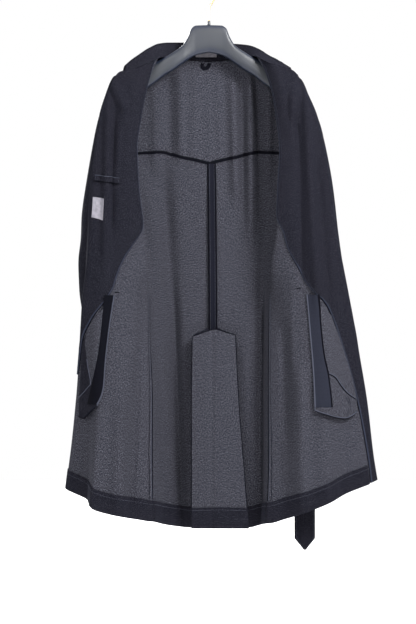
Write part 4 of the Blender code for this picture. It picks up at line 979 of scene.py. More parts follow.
def twilled(look, base, dark, share, ridges, yarns, nap, tint):
    """Ends a cloth's look: its twill darkens and lifts the surface, under a faint nap."""
    look.colour(look.mix(look.ramp(ridges, 0.0, 1.0, 0.0, share), base, dark))
    look.bump(look.math("ADD", ridges, look.math("MULTIPLY", yarns, 0.8)), 0.35, 0.0005)
    look.sheen(nap, 0.5, tint)
    look.set("Specular IOR Level", 0.02)
    return look.material


def make_grey():
    look = Look("inside_grey", GREY_MID, 0.92)
    fleck, mottle, ridges, yarns = weave(look)
    light = look.ramp(fleck, 0.50, 0.64)
    dark = look.ramp(fleck, 0.50, 0.38)
    base = look.mix(look.ramp(mottle, 0.25, 0.75, 0.0, 0.35), GREY_MID, GREY_DARK)
    base = look.mix(look.math("MULTIPLY", light, 0.75), base, GREY_LIGHT)
    base = look.mix(look.math("MULTIPLY", dark, 0.7), base, GREY_DARK)
    return twilled(look, base, GREY_DARK, 0.25, ridges, yarns, 0.02, (0.75, 0.78, 1.0))


def make_navy():
    look = Look("outside_navy", NAVY, 0.88)
    fleck, mottle, ridges, yarns = weave(look)
    base = look.mix(look.math("MULTIPLY", look.ramp(fleck, 0.5, 0.72), 0.6), NAVY, NAVY_LIGHT)
    base = look.mix(look.ramp(mottle, 0.3, 0.7, 0.0, 0.3), base, BINDING_DARK)
    return twilled(look, base, BINDING_DARK, 0.3, ridges, yarns, 0.015, (0.6, 0.65, 1.0))


def make_binding(name, colour, shine):
    """A woven tape with ribs across it."""
    look = Look(name, colour, 0.85)
    place = look.place()
    ribs = look.waves(place, 700.0 / TURN, direction="Y")
    threads = look.noise(place, YARNS)
    look.colour(look.mix(look.ramp(threads, 0.35, 0.7, 0.0, 0.6), colour, BINDING_DARK))
    look.bump(look.math("ADD", ribs, threads), 0.4, 0.0004)
    look.sheen(0.3 * shine, 0.35, (0.6, 0.7, 1.0))
    look.set("Specular IOR Level", 0.03)
    return look.material


def make_thread():
    look = Look("stitches", STITCH_BLUE, 0.6)
    twist = look.waves(look.place(kind="Object", turn=0.6), 1500.0 / TURN)
    look.colour(look.mix(look.ramp(twist, 0.2, 0.8, 0.0, 0.6), STITCH_BLUE, BINDING_DARK))
    look.bump(twist, 0.3, 0.0002)
    return look.material


def make_label():
    look = Look("woven_label", LABEL, 0.7)
    place = look.place()
    satin = look.waves(place, 1100.0 / TURN, direction="Y")
    soft = look.noise(place, 130.0)
    base = look.mix(look.ramp(soft, 0.3, 0.7, 0.0, 0.3), LABEL, (0.30, 0.28, 0.33))
    look.colour(look.mix(look.ramp(satin, 0.0, 1.0, 0.0, 0.15), base, (0.28, 0.27, 0.32)))
    look.bump(satin, 0.25, 0.0002)
    return look.material


def make_plastic():
    """Satin moulded plastic, darkened by painted shade where it turns away along its upper and lower edges.
    """
    look = Look("moulded_plastic", PLASTIC, 0.42)
    place = look.place(kind="Object")
    grain = look.noise(place, 1400.0)
    cloud = look.noise(place, 22.0)
    # Painted shade: the edge share darkens the body towards its top and bottom edges
    edge = look.node("ShaderNodeAttribute", attribute_name="edge").outputs["Fac"]
    base = look.mix(look.ramp(cloud, 0.35, 0.65, 0.0, 0.25), PLASTIC, PLASTIC_SHADE_AND_MOTTLE)
    look.colour(look.mix(edge, base, PLASTIC_SHADE_AND_MOTTLE))
    rough = look.ramp(grain, 0.3, 0.7, 0.38, 0.5)
    look.tree.links.new(rough, look.shader.inputs["Roughness"])
    look.bump(grain, 0.12, 0.0002)
    look.set("Specular IOR Level", 0.45)
    return look.material


def make_brass():
    look = Look("brass_wire", BRASS, 0.28, metallic=1.0)
    place = look.place(kind="Object")
    drawn = look.noise(look.place(kind="Object", scale=(1.0, 1.0, 0.05)), 1800.0)
    tarnish = look.noise(place, 160.0, detail=3.0)
    look.colour(look.mix(look.ramp(tarnish, 0.45, 0.75, 0.0, 0.5), BRASS, (0.34, 0.23, 0.12)))
    look.tree.links.new(look.ramp(drawn, 0.3, 0.7, 0.22, 0.36), look.shader.inputs["Roughness"])
    look.bump(drawn, 0.08, 0.0001)
    return look.material


def make_horn():
    """Dark horn-look plastic with drawn-out lighter streaks."""
    look = Look("dark_horn", HORN, 0.3)
    place = look.place(kind="Object", scale=(1.0, 1.0, 0.3), turn=0.4)
    streaks = look.noise(place, 260.0, detail=4.0, roughness=0.6)
    look.colour(look.mix(look.ramp(streaks, 0.45, 0.75, 0.0, 0.8), HORN, (0.11, 0.075, 0.05)))
    look.tree.links.new(look.ramp(streaks, 0.3, 0.8, 0.25, 0.42), look.shader.inputs["Roughness"])
    look.set("Coat Weight", 0.3)
    return look.material


LOOKS = {
    "grey": make_grey(),
    "navy": make_navy(),
    "piping": make_binding("binding_piping", BINDING_BLUE, 0.12),
    "edge": make_binding("turned_edge", EDGE_GREY, 0.1),
    "tape": make_binding("binding_tape", BINDING_DARK, 0.02),
    "thread": make_thread(),
    "allowance": make_binding("pressed_allowance", ALLOWANCE, 0.05),
    "strip": make_binding("pocket_tape", STRIP_BLUE, 0.05),
    # Painted shadow: dark cords that stand in for shade beneath edges; the bartacks' dark thread shares this
    # look
    "shade": make_binding("painted_shadow_and_bartack", SHADOW_AND_BARTACK_DARK, 0.0),
    "label": make_label(),
    "plastic": make_plastic(),
    "brass": make_brass(),
    "horn": make_horn(),
}
CLOTH_IN = ("grey", "navy", "navy")
NAVY_ALL = ("navy",) * 3
GREY_ALL = ("grey",) * 3
TAPE_ALL = ("tape",) * 3
LABEL_ALL = ("label",) * 3


def back_columns():
    """Line positions of a back's columns, closer together by the centre and the side seam."""
    return np.concatenate([np.linspace(0.06, 0.5, 6), np.linspace(0.56, BLADE, 42),
                           np.linspace(BLADE + 0.05, SEAM, 18)])


def add_yoke():
    """One piece across both halves, from the neck and shoulder seams down to its pointed seam."""
    rows = spread(0.0006, 1.0 - YOKE_SEAM_GAP, 60, 1.6)
    us = np.concatenate([np.linspace(0.0, BLADE, 50), np.linspace(BLADE + 0.06, SEAM - 0.02, 20)])
    halves = []
    for side in (WEARER_RIGHT, WEARER_LEFT):
        v = yoke_v(side, us)[:, None] * rows[None, :]
        halves.append(half_coat(side, us[:, None], v, back=True))
    grid = np.concatenate([halves[0][:0:-1], halves[1]])
    signed = np.concatenate([-us[:0:-1], us])
    fade = np.sin(math.pi * rows)[None, :] * (1.0 - (abs(signed) / SEAM) ** 6)[:, None]
    yoke = Panel(signed, rows, grid, WEARER_LEFT, 3, fade)
    yoke.shell("back_yoke", CLOTH_IN)
    return yoke


def pleat_return(side, z, share):
    """A point between the centre back fold and the underlay's edge, which is share 1."""
    centre = read_table(CENTRE_BACK, z)[..., 0]
    row = read_table(PLEAT, z)
    deep = smoothstep(-z, -PLEAT_OPENS[0], -PLEAT_OPENS[1])
    edge = row[..., 0] if side == WEARER_RIGHT else row[..., 1]
    reach = deep * (edge - centre) + (1.0 - deep) * side * SEAM_ALLOWANCE
    x = centre + 0.3 * side + (reach - 0.3 * side) * share
    y = PLEAT_FOLD_Y + deep * (row[..., 2] + PLEAT_BEHIND - PLEAT_FOLD_Y) * share
    return placed(np.stack([x, y, z], axis=-1))


def add_back(side):
    """From its centre seam allowance and pleat return, round the fold, to the side seam."""
    rows = spread(-0.001, 1.0, 190)
    us = back_columns()
    seam = yoke_v(side, us)[:, None]
    v = seam + (1.0 - seam) * rows[None, :]
    body = half_coat(side, us[:, None], v, back=True)
    front_seam = half_coat(side, us[-1:, None], v[-1:], back=False)
    joined = smoothstep(-front_seam[..., 2], 548.0, 568.0) * smoothstep(us, 3.4, SEAM)[:, None]
    body += (front_seam - body[-1:]) * joined[..., None]
    z = line_z(side, 0.0, seam[0, 0] + (1.0 - seam[0, 0]) * rows)
    folds = [pleat_return(side, z, share) for share in PLEAT_SHARES]
    grid = np.concatenate([np.stack(folds), body])
    columns = np.concatenate([np.linspace(-1.0, -0.1, len(folds)), us])
    fade = np.zeros(grid.shape[:2])
    fade[len(folds):] = smoothstep(us, 0.1, 0.8)[:, None] * (1.0 - smoothstep(us, 3.4, 3.95))[:, None]
    fade *= np.minimum(1.0, 12.0 * rows)[None, :]
    back = Panel(columns, rows, grid, side, 20 + side, fade)
    back.shell(f"back_{SIDE_NAME[side]}", CLOTH_IN)
    return back


def add_pleat():
    rows = np.linspace(0.0, 1.0, 110)
    shares = np.linspace(0.0, 1.0, 41)
    columns = []
    for share in shares:
        corner = PLEAT_CORNERS[0] + (PLEAT_CORNERS[1] - PLEAT_CORNERS[0]) * share
        left, right, _ = read_table(PLEAT, corner)
        x_top = left + (right - left) * share
        apex, apex_z = PLEAT_APEX
        span = apex - left if x_top < apex else right - apex
        z_top = apex_z + (corner - apex_z) * abs(x_top - apex) / span
        z = z_top + (HEM[WEARER_LEFT][0] - z_top) * rows
        row = read_table(PLEAT, z)
        x = row[:, 0] + (row[:, 1] - row[:, 0]) * share
        crease = PLEAT_CREASE[1] * np.exp(-(((x - apex - PLEAT_CREASE[0]) / PLEAT_CREASE[2]) ** 2))
        bow = PLEAT_BOW * math.sin(math.pi * share)
        columns.append(np.stack([x, row[:, 2] - bow + crease, z], axis=-1))
    fade = 0.5 * np.sin(math.pi * shares)[:, None] * np.ones((1, len(rows)))
    pleat = Panel(shares, rows, placed(np.stack(columns)), WEARER_LEFT, 7, fade)
    for name, line in (("top", (slice(None), 0)), ("right", (0, slice(None))), ("left", (-1, slice(None)))):
        add_edge_cord(f"back_pleat_{name}", pleat.grid[line], pleat.inwards[line], 1.0, 0.6, "tape")
    pleat.shell("back_pleat", CLOTH_IN)
    return pleat


def front_columns():
    return np.concatenate([np.linspace(SEAM + 0.004, 5.3, 18), np.linspace(5.36, 6.4, 24),
                           np.linspace(6.46, 9.0, 32), np.linspace(9.06, LEAD, 24)])


def add_front(side):
    rows = np.concatenate([spread(0.0003, 0.08, 14, 1.6)[:-1], np.linspace(0.08, 1.0, 196)])
    us = front_columns()
    grid = half_coat(side, us[:, None], rows[None, :], back=False)
    fade = smoothstep(us, 4.0, 4.6)[:, None] * (1.0 - 0.8 * smoothstep(us, 10.0, 11.0))[:, None]
    fade = fade * np.minimum(1.0, 14.0 * rows)[None, :]
    front = Panel(us, rows, grid, side, 40 + side, fade)
    front.shell(f"front_{SIDE_NAME[side]}", CLOTH_IN)
    return front


def facing_lift(front, vs):
    """How much further the facing stands off the front where its inner edge slants across."""
    z = line_z(front.side, FACING_SLANT_LINE, vs)
    starts, full, ends, ended = FACING_SLANT
    return FACING_SLACK * smoothstep(-z, -starts, -full) * (1.0 - smoothstep(-z, -ends, -ended))


def add_facing(front):
    """From its bound inner edge to the leading edge, where it wraps round the front's raw edge."""
    side = front.side
    vs = front.vs
    starts = facing_u(side, vs) + FACING_TOP_BACK * (1.0 - smoothstep(-line_z(side, ROLL, vs), 176.0, 232.0))
    shares = np.concatenate([np.linspace(0.0, 0.06, 6)[:-1], np.linspace(0.06, 1.0, 52)])
    us = starts[None, :] + (LEAD - starts)[None, :] * shares[:, None]
    lift = facing_lift(front, vs)[None, :] * (1.0 - smoothstep(shares, 0.75, 1.0))[:, None]
    grid, inwards = front.lay(us, vs, WALL, lift + FACING_GAP)
    away = unit(front.grid[-1] - front.grid[-4])
    turn, ways = rolled(grid[-1], away, inwards[-1], 2.0 * (WALL + LAY_GAP + FACING_GAP))
    add_shell(f"facing_{SIDE_NAME[side]}", np.concatenate([grid, turn]), np.concatenate([inwards, ways]),
              WALL, NAVY_ALL)
    return Panel(np.arange(len(grid)), vs, grid, side)


def edge_strip(panel, width):
    """A bound edge: a narrow tape that wraps the first column's raw edge."""
    vs = panel.vs
    lengths = run_along(panel.grid)
    reaches = np.array([0.0, 0.25, 0.5, 0.8, 1.0]) * width
    columns = np.array([[np.interp(reach, lengths[:, j], np.arange(len(lengths))) for j in range(len(vs))]
                        for reach in reaches])
    height = 0.35 * np.sin(math.pi * np.clip(reaches / width, 0.0, 0.9))
    grid, inwards = panel.lay(columns, vs, BINDING_WALL, height[:, None] + BINDING_LIFT)
    away = unit(panel.grid[0] - panel.grid[1])
    turn, ways = rolled(grid[0], away, inwards[0], WALL + BINDING_WALL + 2.0 * BINDING_LIFT)
    return np.concatenate([turn[::-1], grid]), np.concatenate([ways[::-1], inwards])


def add_facing_binding(facing):
    name = SIDE_NAME[facing.side]
    grid, inwards = edge_strip(facing, BINDING)
    # Painted shadow: a dark cord just outside the facing's bound edge stands in for the shade that edge casts
    # on the front
    edge = facing.grid[0] + 1.6 * unit(facing.grid[0] - facing.grid[1])
    below = facing.grid[0, :, 2] < FACING_SHADE_START
    add_edge_cord(f"facing_{name}_under", edge[below], facing.inwards[0][below], 1.2, -1.6, "shade")
    add_shell(f"facing_binding_{name}", grid, inwards, BINDING_WALL, ("piping", "navy", "piping"),
              bands=[0] * (len(grid) - 4) + [1] * 3)


def turned_hem(name, panel, us, top):
    """A band laid along a panel's hem, rolled round the bottom edge."""
    vs = np.concatenate([[top, top + 0.0012], np.linspace(top + 0.006, 1.0, 14)])
    grid, inwards = panel.lay(us, vs, HEM_WALL, HEM_LIFT)
    away = unit(grid[:, -1] - grid[:, -3])
    turn, ways = rolled(grid[:, -1], away, inwards[:, -1], WALL + HEM_WALL + 0.5)
    add_stitches(f"{name}_stitches", grid[:, 3], inwards[:, 3], 0.9)
    grid = np.concatenate([grid, turn.transpose(1, 0, 2)], axis=1)
    inwards = np.concatenate([inwards, ways.transpose(1, 0, 2)], axis=1)
    add_shell(name, grid, inwards, HEM_WALL, NAVY_ALL)


def hem_v(side, u):
    top, hem = line_ends(side, u)
    return 1.0 - HEM_DEPTH / (top - hem)


def add_hems(side, back, front, facing_end):
    name = SIDE_NAME[side]
    turned_hem(f"hem_front_{name}", front, np.linspace(SEAM + 0.02, facing_end - 0.05, 90),
               hem_v(side, MIDDLE))
    turned_hem(f"hem_back_{name}", back, np.linspace(0.4, SEAM - 0.02, 66), 1.0 - HEM_DEPTH / BACK_LENGTH)


def add_tapes(yoke, fronts):
    top, bottom, half = CENTRE_TAPE
    z = np.linspace(top, bottom, 120)
    centre = read_table(CENTRE_BACK, z)[:, 0]
    grid = np.stack([
        placed(np.stack([centre + half * off, np.full(len(z), CENTRE_TAPE_Y - up), z], axis=-1))
        for off, up in CENTRE_TAPE_SECTION
    ])
    tape = Panel(np.arange(15), z, grid, WEARER_LEFT)
    for line in (4, 10):
        add_stitches(f"tape_centre_back_stitches_{line}", tape.grid[line], tape.inwards[line])
    add_shell("tape_centre_back", tape.grid, tape.inwards, TRIM, ("allowance", "tape", "tape"),
              bands=[1] * 4 + [0] * 6 + [1] * 4)
    grid, inwards = yoke.lay(yoke.us[2:-2], np.linspace(0.972, 1.004, 7), TRIM, YOKE_TAPE_LIFT)
    tape = Panel(yoke.us[2:-2], np.linspace(0.0, 1.0, 7), grid, WEARER_LEFT)
    tape.shell("tape_yoke", TAPE_ALL, TRIM)
    for side, front in fronts.items():
        rows = np.linspace(line_v(side, SEAM, SIDE_TAPE_TOP), hem_v(side, SEAM) - 0.003, 110)
        rise = 0.2 + 0.4 * np.sin(math.pi * np.linspace(0, 1, 9))[:, None]
        grid, inwards = front.lay(np.linspace(SEAM + 0.05, 4.9, 9), rows, TRIM, rise)
        add_shell(f"tape_side_{SIDE_NAME[side]}", grid, inwards, TRIM, ("grey", "tape", "edge"),
                  bands=[1, 1, 2, 0, 0, 0, 0, 1])


def pocket_inner(pocket, edge, z):
    return read_table(pocket["strip"], z)[..., edge]


def facing_height(side, out):
    edge = sorted((row[1], row[0]) for row in FACING_EDGE[side])
    return np.interp(out, [row[0] for row in edge], [row[1] for row in edge])


def bag_lift(pocket, outs, z):
    """How far a bag stands off its front: most at its middle and towards its bottom."""
    start = pocket_inner(pocket, 0, z)
    share = np.clip((outs - start) / (pocket["reach"] - start), 0.0, 1.0)
    bulge = POCKET_BULGE * np.sin(math.pi * (0.15 + 0.85 * share))
    return POCKET_GAP + bulge + POCKET_DROP * smoothstep(-z, *POCKET_DROPS)


def bag_places(side, pocket, piece, first, free, shares, downs):
    """Where a bag's points are seen, as distances out and heights, column by column."""
    near = pocket[piece][0][0]
    reach = pocket["reach"]
    start = pocket_inner(pocket, first, POCKET_MOUTH)
    outs = []
    heights = []
    for share in shares:
        bottom = read_table(pocket[piece], near + (reach - near) * share)[0]
        top = facing_height(side, start + (reach - start) * share) - POCKET_TOP
        z = top + (bottom - top) * downs
        inner = pocket_inner(pocket, first, z)
        end = np.minimum(reach, read_table(pocket["free"], z)[..., 0]) if free else reach
        outs.append(inner + (end - inner) * share)
        heights.append(z)
    return np.stack(outs), np.stack(heights)


def add_pocket(front):
    """Two layers of the bag and the strip beside its mouth, each with a turned edge."""
    side = front.side
    name = SIDE_NAME[side]
    pocket = POCKET[side]
    shares = np.concatenate([[0.0, 0.02, 0.05], np.linspace(0.1, 1.0, 34)])
    downs = np.concatenate([np.linspace(0.0, 0.94, 60), [0.96, 0.975, 0.99, 1.0]])
    fade = POCKET_RIPPLE * (np.sin(math.pi * np.clip(shares, 0.02, 0.98))[:, None] * np.ones((1, len(downs))))
    for layer, piece in enumerate(("lower", "upper")):
        free = "free" in pocket and layer == 1
        outs, heights = bag_places(side, pocket, piece, layer, free, shares, downs)
        rise = bag_lift(pocket, outs, heights) + layer * (TRIM + POCKET_LAYER_GAP)
        grid, _ = lay_seen(front, outs, heights, rise)
        bag = Panel(np.arange(len(shares)), downs, grid, side, 60 + layer + 3 * side, fade)
        node = f"pocket_{piece}_{name}"
        # Painted shade: the wearer-right lower bag, grey cloth like the rest, takes the navy look so that it
        # stands dark
        bag.shell(node, NAVY_ALL if (side, layer) == (WEARER_RIGHT, 0) else GREY_ALL, TRIM)
        # Painted shadow: the upper bag's side gets a dark cord where it meets the lower bag; the lower bag's
        # side keeps a light turned edge
        look = "shade" if layer else "edge"
        add_edge_cord(f"{node}_side", bag.grid[0, 2:], bag.inwards[0, 2:], 0.9, 0.4, look)
        if free:
            add_edge_cord(f"{node}_free", bag.grid[-1], bag.inwards[-1], 1.0, 0.5, "edge")
            continue
        # Painted shade: on the wearer's right the bag's bottom edge takes the darker allowance look instead
        # of the light turned edge
        look = "edge" if side == WEARER_LEFT else "allowance"
        add_edge_cord(f"{node}_edge", bag.grid[:, -1], bag.inwards[:, -1], 1.0, 0.6, look)
        if side == WEARER_RIGHT:
            outs, z = (np.linspace(*ends, 20)[:, None] for ends in POCKET_FOLD)
            fold, ways = lay_seen(front, outs, z, bag_lift(pocket, outs, z) + 2.0 * TRIM)
            add_edge_cord(f"{node}_fold", fold[:, 0], ways[:, 0], 1.0, 0.3, "edge")
        # Painted shadow: a dark cord just beyond the bag's bottom edge
        under = bag.grid[:, -1] + 1.5 * unit(bag.grid[:, -1] - bag.grid[:, -4])
        add_edge_cord(f"{node}_under", under, bag.inwards[:, -1], 1.3, -1.0, "shade")
    z = np.linspace(pocket["strip"][0][0] - 5.0, pocket["strip"][-1][0] + 6.0, 90)
    edges = read_table(pocket["strip"], z)
    outs = edges[None, :, 0] + (edges[None, :, 1] - edges[None, :, 0]) * np.linspace(0.0, 1.0, 13)[:, None]
    heights = np.broadcast_to(z, outs.shape)
    grid, inwards = lay_seen(front, outs, heights, bag_lift(pocket, outs, heights) + STRIP_RISE)
    node = f"pocket_strip_{name}"
    add_edge_cord(f"{node}_edge", grid[0], inwards[0], 0.9, 0.3, "edge")
    add_bartack(f"{node}_bartack", front, *BARTACK[side])
    # Painted shadow: a dark line beside the strip's outer edge, down to where the upper bag's edge begins
    above = z > POCKET_LINE_END[side]
    add_edge_cord(f"{node}_under", grid[-1][above], inwards[-1][above], 1.0, 0.1, "shade")
    # Painted shade: on the wearer's right the strip takes the dark tape look, on the left its own bluish look
    looks = ("tape" if side == WEARER_RIGHT else "strip", "tape", "edge")
    add_shell(node, grid, inwards, TRIM, looks, bands=[2] + [0] * 10 + [1])


def add_edge_cord(name, edge, ways, radius, lift, look):
    """A thin round edge along a line of points on a piece, lifted off it along ways."""
    steps = run_along(edge)
    places = np.linspace(0.0, steps[-1], max(12, int(steps[-1] / 2.5)))
    route = read_along(edge, steps, places)
    off = lift * unit(read_along(ways, steps, places))
    for _ in range(3):
        route[1:-1] = 0.25 * route[:-2] + 0.5 * route[1:-1] + 0.25 * route[2:]
    vertices, faces = tube_around(route + off, radius, 8)
    add_solid(name, vertices, faces, look, "binding", trim=True)


def add_bartack(name, front, near, far, z):
    """A short dense row of thread that holds the pocket's mouth."""
    outs = np.linspace(near, far, 12)[:, None]
    line, ways = lay_seen(front, outs, np.full(outs.shape, z), 0.4)
    add_edge_cord(name, line[:, 0], ways[:, 0], 1.1, 0.3, "shade")


def add_stitches(name, line, ways, lift=0.35):
    """A row of machine stitches along a line of points on a piece."""
    places = run_along(line)
    middles = np.arange(0.5 * STITCH_STEP, places[-1] - 0.5 * STITCH_STEP, STITCH_STEP)
    angles = circle(STITCH_SIDES)
    out = unit(read_along(ways, places, middles))
    along = unit(read_along(line, places, middles + 0.5) - read_along(line, places, middles - 0.5))
    sideways = np.cross(along, out)
    rings = []
    for shift, rise, size in STITCH_RINGS:
        centre = read_along(line, places, middles + shift * STITCH_LENGTH) + (lift * rise) * out
        rings.append(centre[:, None] + size * THREAD_RADIUS * (
            np.cos(angles)[None, :, None] * sideways[:, None] + np.sin(angles)[None, :, None] * out[:, None]))
    count = len(STITCH_RINGS)
    faces = [face for stitch in range(len(middles))
             for face in ring_faces(count, STITCH_SIDES, stitch * count * STITCH_SIDES)]
    add_solid(name, np.stack(rings, axis=1).reshape(-1, 3), faces, "thread", "binding", trim=True)


def corner_grid(corners, columns, rows):
    """Places between an upper and a lower edge, each given by its two ends."""
    corners = np.array(corners, float)
    s = np.linspace(0.0, 1.0, columns)[:, None, None]
    t = np.linspace(0.0, 1.0, rows)[None, :, None]
    upper = corners[0] * (1 - s) + corners[1] * s
    lower = corners[2] * (1 - s) + corners[3] * s
    return upper * (1 - t) + lower * t


def add_facing_trims(front):
    for name, corners, looks, slot in (
        ("breast_welt", BREAST_WELT, NAVY_ALL, "cloth_navy"),
        ("care_label", CARE_LABEL, LABEL_ALL, "label_white"),
    ):
        grid = corner_grid(corners, 24, 24)
        u = front_u(front.side, grid[..., 0], grid[..., 1])
        v = line_v(front.side, u, grid[..., 1])
        lift = WALL + LAY_GAP + 0.4 + facing_lift(front, v) + WELT_RISE * (name == "breast_welt")
        laid, inwards = front.lay(u, v, TRIM, lift)
        if name == "breast_welt":
            for part, row, radius, rise, look in WELT_CORDS:
                # The mouth and under cords are painted shade
                add_edge_cord(f"{name}_{part}", laid[:, row], inwards[:, row], radius, rise, look)
        for line in ((slice(None), 1), (1, slice(None)), (-2, slice(None))):
            add_stitches(f"{name}_stitches", laid[line], inwards[line])
        add_shell(name, laid, inwards, TRIM, looks)


def curve(points, places):
    """Points at places along a smooth curve through the given points, which count from 0."""
    lines = np.broadcast_to(points[:, None, None], (len(points), len(places), 1, points.shape[-1]))
    return across(lines, places[:, None])[:, 0]


def add_collar():
    """The stand rises from the neck seam to the fold, and the leaf turns over it and falls outside."""
    rows = np.array(COLLAR, float).reshape(len(COLLAR), 9)
    seam, fold, edge = np.split(curve(rows, np.linspace(0.0, len(rows) - 1.0, 150)), 3, axis=1)
    start = STAND_START - STAND_DIP * np.exp(-(((abs(seam[:, 0]) - 92.0) / 24.0) ** 2))
    start = start - 0.2 * smoothstep(abs(seam[:, 0]), 100.0, 125.0)
    shares = (start + (0.96 - start) * np.linspace(0.0, 1.0, 12)[:, None])[..., None]
    stand = placed(seam + (fold - seam) * shares)
    ways = unit(COLLAR_MIDDLE - stand)
    towards = normals_of(stand)
    towards *= np.sign((towards * ways).sum(axis=-1, keepdims=True))
    add_shell("collar_stand", stand, towards, WALL, NAVY_ALL)
    rise = unit(fold - seam)
    outwards = edge - seam
    outwards[:, 2] = 0.0
    outwards = unit(outwards)
    knots = np.stack([
        fold + 0.9 * rise - 0.4 * outwards,
        fold + 1.1 * rise + 0.45 * COLLAR_TURN * outwards,
        fold - 0.6 * rise + outwards * COLLAR_TURN,
        0.5 * (fold + outwards * COLLAR_TURN + edge) + outwards * LEAF_BULGE,
        edge,
    ])
    steps = np.concatenate([np.linspace(0.0, 2.0, 9)[:-1], np.linspace(2.0, 4.0, 19)])
    lines = np.broadcast_to(knots[:, None], (len(knots), len(steps), len(fold), 3))
    leaf = placed(across(lines, np.broadcast_to(steps[:, None], (len(steps), len(fold)))))
    towards = normals_of(leaf)
    towards *= np.sign((towards * unit(COLLAR_MIDDLE - leaf)).sum(axis=-1).mean())
    lengths = arc_lengths(leaf)
    waves = soft_noise(lengths[..., 1] / LEAF_WAVES[0], lengths[..., 0] / LEAF_WAVES[1], 5)
    fade = LEAF_WAVES[2] * smoothstep(steps, 2.2, 3.5)[:, None] * (1.0 - smoothstep(steps, 3.7, 4.0))[:, None]
    leaf = leaf + towards * (waves * fade)[..., None]
    add_shell("collar_leaf", leaf, towards, WALL, NAVY_ALL)


def add_neck_trims():
    left, right, top, bottom = NECK_LABEL
    rows = np.array(COLLAR, float)
    columns = []
    for x in np.linspace(left, right, 30):
        seam = np.array([np.interp(x, rows[:, 0, 0], rows[:, 0, k]) for k in (1, 2)])
        fold = np.array([np.interp(x, rows[:, 1, 0], rows[:, 1, k]) for k in (1, 2)])
        z = np.linspace(top, bottom, 16)
        share = (z - seam[1]) / (fold[1] - seam[1])
        y = seam[0] + (fold[0] - seam[0]) * share - NECK_LABEL_GAP
        columns.append(np.stack([np.full(16, x), y, z], axis=-1))
    label = Panel(np.arange(30), np.arange(16), placed(np.stack(columns)), WEARER_LEFT)
    label.shell("neck_label", LABEL_ALL, TRIM)
    path = np.array(NECK_LOOP, float)
    route = curve(path, np.linspace(0.0, len(path) - 1.0, 60))
    steps = unit(np.gradient(route, axis=0))
    sideways = np.stack([-steps[:, 1], steps[:, 0]], axis=-1) * 0.5 * NECK_LOOP_WIDTH
    grid = []
    for edge in np.linspace(-1.0, 1.0, 7):
        flat = route + edge * sideways
        y = NECK_LOOP_Y - 0.8 * (1.0 - edge ** 2) - 0.5
        grid.append(np.stack([flat[:, 0], np.full(len(flat), y), flat[:, 1]], axis=-1))
    loop = Panel(np.arange(7), np.arange(60), placed(np.stack(grid)), WEARER_LEFT)
    loop.shell("neck_loop", TAPE_ALL, TRIM)


def belt_side(side, end_rows):
    """Cross lines of the belt where it turns down and hangs, from the fold to its end."""
    half = 0.5 * BELT_WIDTH
    inner = side * (BELT_TAIL_X - half)
    outer = side * (BELT_TAIL_X + half)
    y = BELT_ROUND[0][1] + 2.0
    rows = [(y + 0.5 * BELT_FOLD_GAP, BELT_HEIGHT + half, BELT_HEIGHT - half),
            (y + BELT_FOLD_GAP, BELT_HEIGHT + half - 14.0, BELT_HEIGHT - half - 8.0)]
    rows += [(read_table(BELT_TAIL, z)[0] + BELT_FOLD_GAP, z, z) for z in end_rows]
    return [((inner, depth, high), (outer, depth, low)) for depth, high, low in rows]


def add_belt():
    half = 0.5 * BELT_WIDTH
    down_right = belt_side(WEARER_RIGHT, np.linspace(BELT_HANG_START, BELT_BUCKLE_END, 60))
    down_left = belt_side(WEARER_LEFT, np.linspace(BELT_HANG_START, BELT_TIP[0], 100))
    xs = np.linspace(BELT_ROUND[0][0], BELT_ROUND[-1][0], 90)
    around = [tuple((x, read_table(BELT_ROUND, x)[0], BELT_HEIGHT + up) for up in (half, -half)) for x in xs]
    tip = []
    for share in (0.25, 0.5, 0.75, 1.0):
        z = BELT_TIP[0] + (BELT_TIP[1] - BELT_TIP[0]) * share
        reach = half + (2.0 - half) * share
        tip.append(tuple((BELT_TAIL_X + out, down_left[-1][0][1], z) for out in (-reach, reach)))
    lines = np.array(down_right[::-1] + around + down_left + tip)
    cross = np.concatenate([[0.0, 0.03, 0.09], np.linspace(0.13, 0.87, 7), [0.91, 0.97, 1.0]])[None, :, None]
    grid = lines[:, None, 0] * (1.0 - cross) + lines[:, None, 1] * cross
    ways = normals_of(grid)
    ways *= np.sign(-(ways[len(down_right) + 45, 6, 1]))
    for line in (2, -3):
        add_stitches(f"belt_stitches_{line % 13}", grid[:, line], -ways[:, line], 1.45)
    add_shell("belt", grid, ways, WALL + 1.0, NAVY_ALL)


def tube_around(route, radius, sides, cyclic=False):
    """Rings of points round a route, and the faces between them."""
    route = np.asarray(route, float)
    if cyclic:
        along = unit(np.roll(route, -1, axis=0) - np.roll(route, 1, axis=0))
    else:
        along = unit(np.gradient(route, axis=0))
    sideways = unit(np.cross(along, (0.0, 1.0, 0.0)))
    other = np.cross(along, sideways)
    angles = circle(sides)[None, :, None]
    rings = route[:, None] + radius * (np.cos(angles) * sideways[:, None] + np.sin(angles) * other[:, None])
    faces = ring_faces(len(route) + cyclic, sides)
    if cyclic:
        faces = [tuple(corner % (len(route) * sides) for corner in face) for face in faces[:-2]]
    return rings.reshape(-1, 3), faces


def add_solid(name, vertices, faces, look, slot, sharp=50.0, trim=False):
    """A closed piece whose faces are turned outwards."""
    mesh = bmesh.new()
    points = [mesh.verts.new(place) for place in np.asarray(vertices)]
    for face in faces:
        mesh.faces.new([points[corner] for corner in face])
    bmesh.ops.recalc_face_normals(mesh, faces=mesh.faces)
    mesh.verts.index_update()
    turned = [[vertex.index for vertex in face.verts] for face in mesh.faces]
    mesh.free()
    return add_piece(name, vertices, turned, [look], sharp=sharp, trim=trim)


